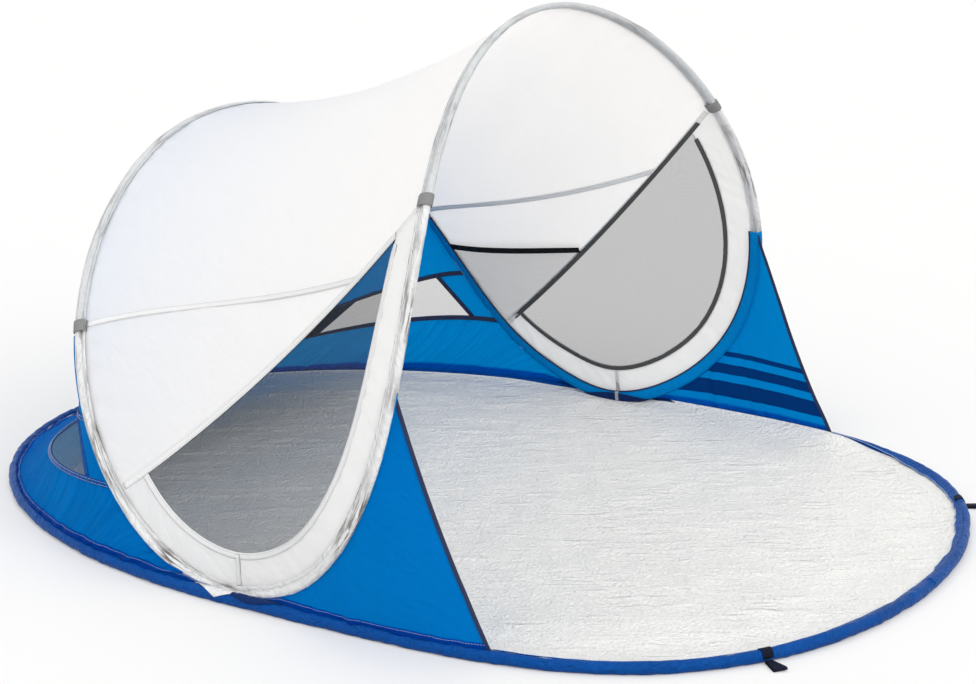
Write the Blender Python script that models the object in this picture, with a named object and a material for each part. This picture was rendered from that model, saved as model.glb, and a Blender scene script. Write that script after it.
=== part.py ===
"""A pop-up beach tent: a spring hoop bent into a saddle stands over a second hoop that lies in the floor hem.

The tent stands on z = 0, its open front faces -Y and the foot line, where the saddle hoop touches the floor,
runs along X. Left is -X. Every outline is symmetrical about x = 0.
"""
import math

import bmesh
import bpy
import numpy as np

# Overall sizes, to the centre line of the rods.
FLOOR_HALF_WIDTH = 0.638
FLOOR_FRONT_REACH = 0.915
FLOOR_REAR_REACH = 0.853
FRONT_ARCH_HEIGHT = 0.878
BACK_ARCH_HEIGHT = 0.649
ARM_FLARE = 0.013
ARM_HALF_WIDTH = FLOOR_HALF_WIDTH + ARM_FLARE
FRONT_ARM_REACH = 0.300
BACK_ARM_REACH = 0.480
FOOT_INSET = 0.020

# Rods, sleeves and webbing.
SADDLE_ROD_RADIUS = 0.0025
FLOOR_ROD_RADIUS = 0.0030
FERRULE_WALL = 0.0009
FERRULE_LENGTH = 0.040
SLEEVE_WIDTH = 0.022
SLEEVE_THICKNESS = 0.012
SLEEVE_WALL = 0.0012
HEM_WIDTH = 0.016
HEM_HEIGHT = 0.020
HEM_WALL = 0.0012
CLIP_LENGTH = 0.020
CLIP_THICKNESS = 0.0015
TIE_LENGTH = 0.030
TIE_THICKNESS = 0.0015
TIE_RISE = 0.006
TIE_FOOT = 0.010
LOOP_WIDTH = 0.020
LOOP_LENGTH = 0.036
LOOP_STRAP = 0.0020
LOOP_HEIGHT = 0.010

# Cloth, net and tapes.
CLOTH = 0.0020
SHEET_THICKNESS = 0.0030
TAPE_THICKNESS = 0.0012
TAPE_WIDTH = 0.008
SEAM_BAND_WIDTH = 0.010
SEAM_BAND_THICKNESS = 0.0030
WING_BINDING_WIDTH = 0.008
FACING_WIDTH = 0.062
FACING_TILT = 16.5
ROOF_SAG = 0.046
DIAGONAL_SAG = 0.026
DIAGONAL_WAIST = 0.020
ROOF_WAIST = 0.030
WING_SAG = 0.010
POCKET_STAND_OFF = 0.0064
POCKET_BULGE = 0.036
ELASTIC_WIDTH = 0.012

# Clearances between neighbouring pieces.
GAP = 0.0004
SEAM_GAP = 0.0021
CLOTH_GAP = 0.0006
CLOTH_EDGE_ROOM = 0.0004
SLEEVE_BOW = 0.0014
SEAM_END_ROOM = 0.0040
CLIP_LOOSENESS = 0.0018
TIE_CLEARANCE = 0.0016
TAPE_LIFT = 0.0012
SHORTEST_CLOTH = 0.004

# Heights and reaches of the two seams across the back wall.
LOWER_SEAM_END_HEIGHT = 0.137
LOWER_SEAM_MIDDLE_HEIGHT = 0.090
LOWER_SEAM_REACH = 0.675
UPPER_SEAM_END_HEIGHT = 0.233
UPPER_SEAM_MIDDLE_HEIGHT = 0.190
UPPER_SEAM_REACH = 0.488

# Places along the saddle hoop, as shares of a quarter of its turn, from the foot up.
FRONT_CLIP_SHARE = 0.664
BACK_CLIP_SHARE = 0.540
DIAGONAL_FOOT_SHARE = 0.283
WING_TOP_SHARE = 0.472
WING_FOOT_SHARE = 0.365
PEG_SHARE = 0.684
POCKET_TOP_SHARE = 0.460
POCKET_DIAGONAL_SHARE = 0.430
HUB_SHARE = 0.400

# Window edges, as shares of each seam from the middle of the back wall to the sleeve.
WINDOW_OUTER_SHARES = (0.900, 0.782)
WINDOW_INNER_SHARES = (0.447, 0.423)
LOWER_BAND_SEAM_SHARE = 0.80
TAPE_TRIM_SHARE = 0.070

# Roundness of the floor outline: 2 is an ellipse, and more is squarer.
FRONT_OUTLINE_POWER = 4.0
REAR_OUTLINE_POWER = 2.1
OUTLINE_STEPS = 800
SLOPE_STEP = 0.002

# Arms of the saddle hoop from the foot to the middle of each arch, at equal steps of the turn. Each row is
# half width, fore and aft, and height, as shares of the arm half width, of the reach and of the arch.
FRONT_ARM_SHARES = (
    (0.968, 0.396, 0.059), (1.000, 0.725, 0.158), (0.987, 0.938, 0.311), (0.923, 1.000, 0.496),
    (0.789, 0.938, 0.685), (0.581, 0.805, 0.850), (0.308, 0.679, 0.960), (0.000, 0.630, 1.000),
)
BACK_ARM_SHARES = (
    (0.952, 0.247, 0.060), (0.934, 0.468, 0.163), (0.900, 0.645, 0.320), (0.829, 0.779, 0.506),
    (0.702, 0.877, 0.692), (0.513, 0.945, 0.853), (0.273, 0.987, 0.963), (0.000, 1.000, 1.000),
)

# Colours and surface values.
WHITE_COLOUR = (0.86, 0.86, 0.86)
GREY_COLOUR = (0.62, 0.62, 0.62)
BLUE_COLOUR = (0.0, 0.13, 0.48)
NAVY_COLOUR = (0.012, 0.02, 0.06)
DARK_COLOUR = (0.06, 0.06, 0.06)
CLIP_COLOUR = (0.20, 0.20, 0.20)
NET_COLOUR = (0.25, 0.25, 0.25)
SILVER_COLOUR = (0.74, 0.74, 0.74)
ROD_COLOUR = (0.55, 0.56, 0.58)
CLOTH_ROUGHNESS = 0.75
ROD_ROUGHNESS = 0.35

SECTION_SIDES = 8
ROD_SIDES = 6
SADDLE_ROD_RINGS = 88
FLOOR_ROD_RINGS = 76
FRONT_SLEEVE_RINGS = 21
BACK_SLEEVE_RINGS = 23
SIDE_SLEEVE_RINGS = 26
HEM_RINGS = 39
RULED_STEPS = 3
CORNER_REACH_SHARE = 1 / math.cos(math.pi / SECTION_SIDES)
SHARP_ANGLE = math.radians(40)
CLIP_OPENING = math.radians(50)
STEEPEST_SLANT = 0.97
QUARTER = 0.25
UP = np.array([0.0, 0.0, 1.0])
FOOT_LINE_Y = (FLOOR_FRONT_REACH - FLOOR_REAR_REACH) / 2
FOOT_HEIGHT = SHEET_THICKNESS + GAP + SLEEVE_WIDTH / 2
FLOOR_ROD_HEIGHT = HEM_HEIGHT / 2
LEFT, RIGHT = -1, 1
SIDES = {"left": LEFT, "right": RIGHT}


def material(name, colour, roughness=CLOTH_ROUGHNESS, metallic=0.0):
    """A plain Principled material."""
    made = bpy.data.materials.new(name)
    made.use_nodes = True
    shader = made.node_tree.nodes["Principled BSDF"]
    shader.inputs["Base Color"].default_value = (*colour, 1.0)
    shader.inputs["Roughness"].default_value = roughness
    shader.inputs["Metallic"].default_value = metallic
    made.diffuse_color = (*colour, 1.0)
    return made


def add_object(name, points, faces, colour, roughness=CLOTH_ROUGHNESS, metallic=0.0, origin=(0, 0, 0)):
    """One named object from world points, with its origin moved where a joint needs it."""
    mesh = bpy.data.meshes.new(name)
    mesh.from_pydata([tuple(point - np.asarray(origin)) for point in points], [], faces)
    shape = bmesh.new()
    shape.from_mesh(mesh)
    bmesh.ops.recalc_face_normals(shape, faces=shape.faces)
    shape.to_mesh(mesh)
    shape.free()
    thing = bpy.data.objects.new(name, mesh)
    thing.location = tuple(origin)
    bpy.context.scene.collection.objects.link(thing)
    mesh.materials.append(material(name, colour, roughness, metallic))
    mesh.shade_smooth()
    mesh.set_sharp_from_angle(angle=SHARP_ANGLE)
    return thing


def unit(vectors):
    """Vectors of length one."""
    vectors = np.asarray(vectors, dtype=float)
    length = np.linalg.norm(vectors, axis=-1, keepdims=True)
    return vectors / np.where(length > 0, length, 1)


def across(vectors, along):
    """The part of each vector that is square to a unit direction, at length one."""
    return unit(vectors - np.sum(vectors * along, axis=-1, keepdims=True) * along)


def closed_spline(points):
    """A smooth closed curve through evenly spaced points, as a function of turns from the first point."""
    points = np.asarray(points)
    count = len(points)
    system = np.zeros((count, count))
    for index in range(count):
        system[index, index] = 4
        system[index, (index + 1) % count] += 1
        system[index, (index - 1) % count] += 1
    chords = np.roll(points, -1, axis=0) - np.roll(points, 1, axis=0)
    slopes = np.linalg.solve(system, 3 * chords)

    def curve(turns):
        place = np.mod(np.atleast_1d(np.asarray(turns, dtype=float)), 1.0) * count
        start = np.floor(place).astype(int) % count
        stop = (start + 1) % count
        part = (place - np.floor(place))[:, None]
        step = points[stop] - points[start]
        lead = slopes[start]
        trail = slopes[stop]
        bend = 3 * step - 2 * lead - trail
        twist = lead + trail - 2 * step
        return points[start] + part * (lead + part * (bend + part * twist))

    return curve


def saddle_points():
    """Points of the saddle hoop: the left foot, up the front arm, over, down to the right foot and round."""
    foot = np.array([FLOOR_HALF_WIDTH - FOOT_INSET, FOOT_LINE_Y, FOOT_HEIGHT])
    front = [(ARM_HALF_WIDTH * wide, FOOT_LINE_Y - FRONT_ARM_REACH * fore, FRONT_ARCH_HEIGHT * high)
             for wide, fore, high in FRONT_ARM_SHARES]
    back = [(ARM_HALF_WIDTH * wide, FOOT_LINE_Y + BACK_ARM_REACH * aft, BACK_ARCH_HEIGHT * high)
            for wide, aft, high in BACK_ARM_SHARES]
    mirror = np.array([-1, 1, 1])
    right = [foot] + [np.array(point) for point in front[:-1]]
    over = [np.array(point) for point in front[-1:]]
    under = [np.array(point) for point in back[:-1]]
    left_front = [point * mirror for point in right]
    left_back = [point * mirror for point in under]
    return left_front + over + right[::-1] + under + [np.array(back[-1])] + left_back[::-1]


saddle_curve = closed_spline(saddle_points())


def saddle(share, side=LEFT):
    """Points of the saddle hoop: 0 at the foot, 1 at the front arch top and -1 at the back arch top.

    Shares beyond 1 or -1 run down the other side's arm.
    """
    points = saddle_curve(np.asarray(share) * QUARTER)
    return points * np.array([1, 1, 1]) if side == LEFT else points * np.array([-1, 1, 1])


def quarter_outline(reach, power):
    """A quarter of the floor outline by arc length: shares of its length with their half width and reach."""
    turn = np.linspace(0, 1, OUTLINE_STEPS) ** 2 * math.pi / 2
    wide = FLOOR_HALF_WIDTH * np.cos(turn)
    along = reach * np.sin(turn) ** (2 / power)
    run = np.concatenate([[0], np.cumsum(np.hypot(np.diff(wide), np.diff(along)))])
    return run / run[-1], wide, along


FRONT_OUTLINE = quarter_outline(FLOOR_FRONT_REACH, FRONT_OUTLINE_POWER)
REAR_OUTLINE = quarter_outline(FLOOR_REAR_REACH, REAR_OUTLINE_POWER)


def floor_outline(share):
    """Half width and place along Y for shares from -1, the rear middle, to 1, the front middle."""
    share = np.atleast_1d(np.asarray(share, dtype=float))
    folded = np.where(np.abs(share) > 1, 2 - np.abs(share), np.abs(share))
    front = [np.interp(folded, FRONT_OUTLINE[0], column) for column in FRONT_OUTLINE[1:]]
    rear = [np.interp(folded, REAR_OUTLINE[0], column) for column in REAR_OUTLINE[1:]]
    wide = np.where(share > 0, front[0], rear[0]) * np.where(np.abs(share) > 1, -1, 1)
    return wide, FOOT_LINE_Y + np.where(share > 0, -front[1], rear[1])


def floor_hoop(share, side=LEFT, inset=0.0, height=FLOOR_ROD_HEIGHT):
    """Points of the floor hoop: 0 beside the foot, 1 at the front middle and -1 at the rear middle.

    Shares beyond 1 or -1 run along the other side. An inset moves the points into the floor.
    """
    share = np.atleast_1d(np.asarray(share, dtype=float))
    ahead, behind = floor_outline(share + SLOPE_STEP), floor_outline(share - SLOPE_STEP)
    along = unit(np.stack([ahead[0] - behind[0], ahead[1] - behind[1]], -1))
    wide, fore = floor_outline(share)
    wide = wide + inset * along[:, 1]
    fore = fore - inset * along[:, 0]
    return np.stack([side * wide, fore, np.full_like(wide, height)], -1)


def tangents(curve, shares):
    """Unit directions along a curve that is a function of shares."""
    return unit(curve(shares + SLOPE_STEP) - curve(shares - SLOPE_STEP))


def hollow_middle(share, side=LEFT):
    """Points midway between the two arms, held at the hub's height for places near the foot."""
    held = np.clip(np.abs(share), HUB_SHARE, 2 - HUB_SHARE)
    return (saddle(held, side) + saddle(-held, side)) / 2


def sleeve_frame(share, side=LEFT):
    """Centre, direction along, direction into the tent's side or roof, and direction through the sleeve."""
    share = np.atleast_1d(np.asarray(share, dtype=float))
    centre = saddle(share, side)
    along = tangents(lambda at: saddle(at, side), share)
    inner = across(hollow_middle(share, side) - centre, along)
    return centre, along, inner, np.cross(along, inner)


def oval_reach(directions, inner, through, width, thickness):
    """Distance from the middle of an oval section to its furthest edge in given directions."""
    first = np.sum(directions * inner, axis=-1) / (width / 2)
    second = np.sum(directions * through, axis=-1) / (thickness / 2)
    return CORNER_REACH_SHARE / np.maximum(np.hypot(first, second), 1 / width)


def tube_margin(centre, along, inner, through, size, towards, room=0.0):
    """How far from a rod the edge of a cloth stays when its threads run towards the given points."""
    threads = unit(towards - centre)
    lean = np.clip(np.sum(threads * along, axis=-1), -STEEPEST_SLANT, STEEPEST_SLANT)
    reach = oval_reach(across(threads, along), inner, through, *size)
    return (reach + CLOTH_GAP + room) / np.sqrt(1 - lean ** 2) + CLOTH_EDGE_ROOM


def sleeve_margin(share, towards, side=LEFT, room=0.0):
    """The margin that a cloth keeps from a sleeve of the saddle hoop."""
    return tube_margin(*sleeve_frame(share, side), (SLEEVE_WIDTH, SLEEVE_THICKNESS), towards, room)


def hem_margin(share, towards, side=LEFT):
    """The margin that a cloth keeps from the floor hem."""
    centre = floor_hoop(share, side)
    along = tangents(lambda at: floor_hoop(at, side), share)
    return tube_margin(centre, along, np.cross(along, UP), UP, (HEM_WIDTH, HEM_HEIGHT), towards)


def grid_faces(rows, columns, closed_columns=False, offset=0):
    """Quads of a grid of points that is stored row by row."""
    faces = []
    for row in range(rows - 1):
        for column in range(columns if closed_columns else columns - 1):
            beside = (column + 1) % columns
            corners = (row * columns + column, row * columns + beside,
                       (row + 1) * columns + beside, (row + 1) * columns + column)
            faces.append(tuple(corner + offset for corner in corners))
    return faces


def grid_normals(grid):
    """Unit normals of a surface given as a grid of points."""
    return unit(np.cross(np.gradient(grid, axis=0), np.gradient(grid, axis=1)))


def slab(name, grid, thickness, colour):
    """A closed sheet of even thickness about a grid of points."""
    rows, columns = grid.shape[:2]
    half = grid_normals(grid) * thickness / 2
    points = np.concatenate([(grid + half).reshape(-1, 3), (grid - half).reshape(-1, 3)])
    below = rows * columns
    faces = grid_faces(rows, columns) + grid_faces(rows, columns, offset=below)
    index = np.arange(below).reshape(rows, columns)
    rim = [*index[0], *index[1:, -1], *index[-1, -2::-1], *index[-2:0:-1, 0]]
    for here, there in zip(rim, rim[1:] + rim[:1]):
        faces.append((int(here), int(there), int(there) + below, int(here) + below))
    return add_object(name, points, faces, colour)


def section(width, thickness, sides=SECTION_SIDES):
    """An oval outline whose flats lie at the given width and thickness, with a flat on each axis."""
    corner = 1 / math.cos(math.pi / sides)
    angles = (np.arange(sides) + 1 / 2) * math.tau / sides
    return np.stack([np.cos(angles) * width / 2, np.sin(angles) * thickness / 2], -1) * corner


def swept(outline, centres, first, second):
    """Rings of an outline carried along a line of centres."""
    return (centres[:, None] + outline[None, :, :1] * first[:, None] + outline[None, :, 1:] * second[:, None])


def hollow_tube(name, outer, inner, centres, first, second, colour, origin=(0, 0, 0)):
    """An open-ended tube with an outer and an inner outline."""
    rings, sides = len(centres), len(outer)
    points = np.concatenate([swept(outer, centres, first, second).reshape(-1, 3),
                             swept(inner, centres, first, second).reshape(-1, 3)])
    inside = rings * sides
    faces = grid_faces(rings, sides, True) + grid_faces(rings, sides, True, inside)
    for ring in (0, rings - 1):
        for corner in range(sides):
            here, there = ring * sides + corner, ring * sides + (corner + 1) % sides
            faces.append((here, there, there + inside, here + inside))
    return add_object(name, points, faces, colour, origin=origin)


def hoop_rod(name, curve, radius, rings, second):
    """A closed round rod along a hoop, where second gives a direction square to it."""
    shares = np.linspace(0, 4, rings, endpoint=False)
    centres, along = curve(shares), tangents(curve, shares)
    side_ways = across(second(shares), along)
    outline = section(2 * radius, 2 * radius, ROD_SIDES) * math.cos(math.pi / ROD_SIDES)
    rows = swept(outline, centres, side_ways, np.cross(along, side_ways))
    points = np.concatenate([rows, rows[:1]]).reshape(-1, 3)
    faces = [tuple(corner % (rings * ROD_SIDES) for corner in face)
             for face in grid_faces(rings + 1, ROD_SIDES, True)]
    add_object(name, points[:rings * ROD_SIDES], faces, ROD_COLOUR, ROD_ROUGHNESS, 1.0)


def sleeve(name, start, stop, rings, colour, side=LEFT, size=(SLEEVE_WIDTH, SLEEVE_THICKNESS), wall=SLEEVE_WALL):
    """A cloth sleeve round the saddle rod between two shares."""
    shares = np.linspace(start, stop, rings)
    centres, _, inner, through = sleeve_frame(shares, side)
    outline = section(*size)
    lining = section(size[0] - 2 * wall, size[1] - 2 * wall)
    hollow_tube(name, outline, lining, centres, inner, through, colour)


def threads(low, high, low_margin, high_margin, count, steps, sag=None):
    """A grid of points on straight threads between two curves, short of each by its margin.

    The curves and margins are functions of places from 0 to 1. Threads too short to sew are left out, and
    sag is a function of the places that gives the greatest sag vector of each thread.
    """
    def ends(places):
        first, last = low(places), high(places)
        length = np.linalg.norm(last - first, axis=-1)
        return first, last, length, low_margin(places, last), high_margin(places, first)

    tried = np.linspace(0, 1, OUTLINE_STEPS)
    _, _, length, near, far = ends(tried)
    sewn = tried[length - near - far > SHORTEST_CLOTH]
    places = np.linspace(sewn[0], sewn[-1], count)
    first, last, length, near, far = ends(places)
    part = np.linspace(0, 1, steps)[None, :]
    begin, end = (near / length)[:, None], (1 - far / length)[:, None]
    share = (begin + (end - begin) * part)[:, :, None]
    grid = first[:, None] * (1 - share) + last[:, None] * share
    if sag is not None:
        grid = grid + sag(places)[:, None] * 4 * share * (1 - share)
    return grid


def even(margin):
    """A margin that is the same along the whole edge."""
    return lambda places, towards: np.full(len(places), margin)


def ribbon(name, centres, before, after, width, thickness, colour, lift=0.0, side=LEFT):
    """A tape along a line of centres that follows the cloth before and after the line.

    Before and after are directions square to the line, and a lift moves the tape into the tent.
    """
    along = unit(np.gradient(centres, axis=0))
    before, after = across(before, along), across(after, along)
    inward = facing_in(np.cross(along, unit(after - before)), side)
    middle = centres + inward * lift
    grid = np.stack([middle + before * width / 2, middle, middle + after * width / 2], 1)
    slab(name, grid, thickness, colour)


def facing_in(normals, side):
    """Normals on one side of the tent, turned towards its middle plane."""
    return normals * -np.sign(normals[..., :1]) * side


def roof_back(places):
    """The roof's back edge on the saddle rod, from the left diagonal over the arch to the right one."""
    return -(DIAGONAL_FOOT_SHARE + 2 * (1 - DIAGONAL_FOOT_SHARE) * places)


def roof_front(places):
    """The roof's front edge on the saddle rod, from the left diagonal over the arch to the right one."""
    return FRONT_CLIP_SHARE + 2 * (1 - FRONT_CLIP_SHARE) * places


def roof_sag(places):
    """How the roof hangs in: down along the middle and in at the sides."""
    down = DIAGONAL_SAG + (ROOF_SAG - DIAGONAL_SAG) * np.sin(math.pi * places)
    waist = ROOF_WAIST * np.sin(math.tau * places) + DIAGONAL_WAIST * np.cos(math.pi * places)
    return np.stack([waist, np.zeros_like(down), -down], -1)


def roof_point(place, share, side=LEFT):
    """A point of the roof on the thread at a place, from 0 on the back arm to 1 on the front arm."""
    part = np.atleast_1d(np.asarray(share, dtype=float))[:, None]
    back, front = saddle(roof_back(place)), saddle(roof_front(place))
    points = back * (1 - part) + front * part + roof_sag(np.array([place])) * 4 * part * (1 - part)
    return points * np.array([1 if side == LEFT else -1, 1, 1])


def diagonal(share, side=LEFT):
    """Points of the roof's slanted lower hem: 0 on the back arm and 1 on the front arm."""
    return roof_point(0.0, share, side)


def facing_way(share, side=LEFT):
    """Directions from the rod into a side's facing, tilted at its ends to meet the slanted hem there."""
    share = np.atleast_1d(np.asarray(share, dtype=float))
    _, _, inner, through = sleeve_frame(share, side)
    middle = (FRONT_CLIP_SHARE - DIAGONAL_FOOT_SHARE) / 2
    spread = (FRONT_CLIP_SHARE + DIAGONAL_FOOT_SHARE) / 2
    tilt = np.radians(FACING_TILT) * ((share - middle) / spread)[:, None] ** 2 * side
    return inner * np.cos(tilt) + through * np.sin(tilt)


def facing_point(share, depth, side=LEFT):
    """Points of a side's facing at a depth from the rod."""
    return saddle(share, side) + facing_way(share, side) * depth


def crossing(arm, depth):
    """Where a line at a depth from the rod meets the slanted hem: its share of the arm and of the hem."""
    tried = np.linspace(HUB_SHARE / 4, FRONT_CLIP_SHARE if arm > 0 else DIAGONAL_FOOT_SHARE, OUTLINE_STEPS)
    hem_shares = np.linspace(0, 1, OUTLINE_STEPS)
    line, hem = facing_point(arm * tried, depth), diagonal(hem_shares)
    apart = np.linalg.norm(line[:, None] - hem[None], axis=-1)
    row, column = np.unravel_index(np.argmin(apart), apart.shape)
    return arm * tried[row], hem_shares[column]


def saddle_hoop():
    """The spring rod, its ferrule and the four sleeves that carry the cloth."""
    hoop_rod("saddle_rod", saddle, SADDLE_ROD_RADIUS, SADDLE_ROD_RINGS, hollow_middle_direction)
    straight = saddle(np.array([-1, 4 / SADDLE_ROD_RINGS - 1]))
    ferrule("saddle_ferrule", straight, SADDLE_ROD_RADIUS)
    step = GAP / saddle_speed(0.0)
    sleeve("front_arch_sleeve", FRONT_CLIP_SHARE + step, 2 - FRONT_CLIP_SHARE - step, FRONT_SLEEVE_RINGS, GREY_COLOUR)
    sleeve("back_arch_sleeve", -BACK_CLIP_SHARE - step, BACK_CLIP_SHARE - 2 + step, BACK_SLEEVE_RINGS, GREY_COLOUR)
    for name, side in SIDES.items():
        sleeve(f"side_sleeve_{name}", step - BACK_CLIP_SHARE, FRONT_CLIP_SHARE - step, SIDE_SLEEVE_RINGS,
               WHITE_COLOUR, side)


def ferrule(name, straight, radius):
    """A short metal tube over the joint of a rod, on one straight stretch of it."""
    along = unit(straight[1] - straight[0])
    centres = straight.mean(0) + np.outer([-1, 1], along) * FERRULE_LENGTH / 2
    first = np.tile(across(UP, along), (2, 1))
    bore = radius + GAP
    outer, inner = (section(2 * reach, 2 * reach) for reach in (bore + FERRULE_WALL, bore))
    hollow_tube(name, outer, inner, centres, first, np.cross(np.tile(along, (2, 1)), first), ROD_COLOUR)


def saddle_speed(share):
    """Length of the saddle rod for each whole share, near a share."""
    return float(np.linalg.norm(saddle(share + SLOPE_STEP) - saddle(share - SLOPE_STEP)) / (2 * SLOPE_STEP))


def hollow_middle_direction(shares):
    """Directions from the saddle rod to the middle of the hollow, for shares all round the hoop."""
    shares = np.where(shares > 2, shares - 4, shares)
    return hollow_middle(shares) - saddle(shares)


def clips():
    """Four webbing clips, each a band round the joint between two sleeves, open where the cloth leaves."""
    half_width = SLEEVE_WIDTH / 2 + CLIP_LOOSENESS
    half_depth = SLEEVE_THICKNESS / 2 + CLIP_LOOSENESS
    turn = np.linspace(CLIP_OPENING, math.tau - CLIP_OPENING, 13)
    for place, share in (("front", FRONT_CLIP_SHARE), ("back", -BACK_CLIP_SHARE)):
        for name, side in SIDES.items():
            centre, along, inner, through = (value[0] for value in sleeve_frame(share, side))
            band = (centre + inner * np.cos(turn)[:, None] * half_width * CORNER_REACH_SHARE
                    + through * np.sin(turn)[:, None] * half_depth * CORNER_REACH_SHARE)
            grid = np.stack([band - along * CLIP_LENGTH / 2, band + along * CLIP_LENGTH / 2], 1)
            slab(f"clip_{place}_{name}", grid, CLIP_THICKNESS, CLIP_COLOUR)


def roof():
    """The white roof, stretched between the two arches down to a slanted hem on each side."""
    grid = threads(lambda places: saddle(roof_back(places)), lambda places: saddle(roof_front(places)),
                   lambda places, towards: sleeve_margin(roof_back(places), towards, LEFT, SLEEVE_BOW),
                   lambda places, towards: sleeve_margin(roof_front(places), towards), 29, 7, roof_sag)
    slab("roof", grid, CLOTH, WHITE_COLOUR)


def side_net(name, side):
    """One side below the slanted hem: a facing along the sleeve, the net inside it and their tapes."""
    outer_depth = SLEEVE_WIDTH / 2 + CLOTH_GAP + SLEEVE_BOW
    edges = [[crossing(arm, depth) for depth in (outer_depth, FACING_WIDTH)] for arm in (-1, 1)]
    part = np.linspace(0, 1, 29)
    columns = []
    for index, depth in enumerate((outer_depth, FACING_WIDTH)):
        start, stop = edges[0][index][0], edges[1][index][0]
        room = SEAM_GAP * 2 / saddle_speed(start)
        shares = start + room + (stop - start - 2 * room) * part
        columns.append(facing_point(shares, depth, side))
    slab(f"side_facing_{name}", np.stack(columns, 1), CLOTH, WHITE_COLOUR)

    (start, low_hem), (stop, high_hem) = edges[0][1], edges[1][1]

    def seam(at):
        return facing_point(start + (stop - start) * at, FACING_WIDTH, side)

    def hem(at):
        return diagonal(low_hem + (high_hem - low_hem) * at, side)

    net = threads(seam, hem, lambda at, towards: seam_margin(seam, at, towards, SEAM_GAP),
                  lambda at, towards: seam_margin(hem, at, towards, SEAM_GAP), 21, RULED_STEPS)
    slab(f"side_net_{name}", net, CLOTH, NET_COLOUR)

    lift = CLOTH / 2 + TAPE_LIFT + TAPE_THICKNESS / 2
    places = np.linspace(TAPE_TRIM_SHARE, 1 - TAPE_TRIM_SHARE, 25)
    centres = seam(places)
    outward = -facing_way(start + (stop - start) * places, side)
    ribbon(f"net_tape_{name}", centres, outward, hem(places) - centres, TAPE_WIDTH, TAPE_THICKNESS, DARK_COLOUR,
           lift, side)

    ends = [float(sleeve_margin(share, diagonal(1 / 2, side), side)[0]) + TAPE_WIDTH
            for share in (-DIAGONAL_FOOT_SHARE, FRONT_CLIP_SHARE)]
    length = float(np.linalg.norm(diagonal(1, side) - diagonal(0, side)))
    shares = np.linspace(ends[0] / length, 1 - ends[1] / length, 13)
    centres = diagonal(shares, side)
    upward = np.concatenate([roof_point(SLOPE_STEP, share, side) for share in shares]) - centres
    places = np.clip((shares - low_hem) / (high_hem - low_hem), TAPE_TRIM_SHARE, 1 - TAPE_TRIM_SHARE)
    ribbon(f"diagonal_tape_{name}", centres, upward, seam(places) - centres, TAPE_WIDTH, TAPE_THICKNESS,
           DARK_COLOUR, lift, side)


def edge_band(name, grid, width, colour):
    """A band along the last thread of a cloth, just beyond it and in its plane."""
    edge, before = grid[-1], grid[-2]
    outward = across(edge - before, unit(np.gradient(edge, axis=0)))
    ribbon(name, edge + outward * (GAP + width / 2), -outward, outward, width, SEAM_BAND_THICKNESS, colour)


def wing(name, side):
    """The blue wing in front of one foot, from the front arm down to the hem, with a bound front edge."""
    grid = threads(lambda at: floor_hoop(WING_FOOT_SHARE * at, side),
                   lambda at: saddle(WING_TOP_SHARE * at, side),
                   lambda at, towards: hem_margin(WING_FOOT_SHARE * at, towards, side),
                   lambda at, towards: sleeve_margin(WING_TOP_SHARE * at, towards, side),
                   13, 5)
    part = np.linspace(0, 1, 5)
    hollow = np.outer(np.linspace(0, 1, 13), 4 * part * (1 - part))
    grid = grid + hollow[:, :, None] * np.array([0, WING_SAG, 0])
    slab(f"wing_{name}", grid, CLOTH, BLUE_COLOUR)
    edge_band(f"wing_binding_{name}", grid, WING_BINDING_WIDTH, NAVY_COLOUR)


def seam_margin(curve, places, towards, room):
    """The margin that a cloth keeps from a seam line, or from the middle of a band along it."""
    lean = np.sum(unit(towards - curve(places)) * tangents(curve, places), axis=-1)
    return room / np.sqrt(1 - np.clip(lean, -STEEPEST_SLANT, STEEPEST_SLANT) ** 2) + CLOTH_EDGE_ROOM


def back_share(height):
    """The share of the back arm at which the rod is at a height."""
    shares = np.linspace(0, 1, OUTLINE_STEPS)
    return float(np.interp(height, saddle(-shares)[:, 2], shares))


LOWER_SHARE = back_share(LOWER_SEAM_END_HEIGHT)
UPPER_SHARE = back_share(UPPER_SEAM_END_HEIGHT)


def seam_row(end_share, reach, middle_height):
    """A seam across the back wall: -1 on the left sleeve, 0 in the middle and 1 on the right sleeve."""
    end = saddle(-end_share)[0]

    def row(shares):
        turn = np.atleast_1d(shares) * math.pi / 2
        bulge = np.cos(turn)
        return np.stack([-end[0] * np.sin(turn), end[1] + (FOOT_LINE_Y + reach - end[1]) * bulge,
                         end[2] - (end[2] - middle_height) * bulge ** 2], -1)

    return row


lower_seam = seam_row(LOWER_SHARE, LOWER_SEAM_REACH, LOWER_SEAM_MIDDLE_HEIGHT)
upper_seam = seam_row(UPPER_SHARE, UPPER_SEAM_REACH, UPPER_SEAM_MIDDLE_HEIGHT)


def row_speed(row, share):
    """Length of a seam row for each whole share, near a share."""
    return float(np.linalg.norm(row(share + SLOPE_STEP) - row(share - SLOPE_STEP)) / (2 * SLOPE_STEP))


def band_margin(row, shares, towards):
    """The margin that a cloth keeps from the middle of a seam band."""
    return seam_margin(row, shares, towards, SEAM_BAND_WIDTH / 2 + GAP)


def sleeve_room(row, end_share):
    """How far along a seam row its pieces keep from the sleeve at its end."""
    margin = sleeve_margin(-end_share, row(SLOPE_STEP - 1))
    return float(margin[0]) + SEAM_END_ROOM


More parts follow.
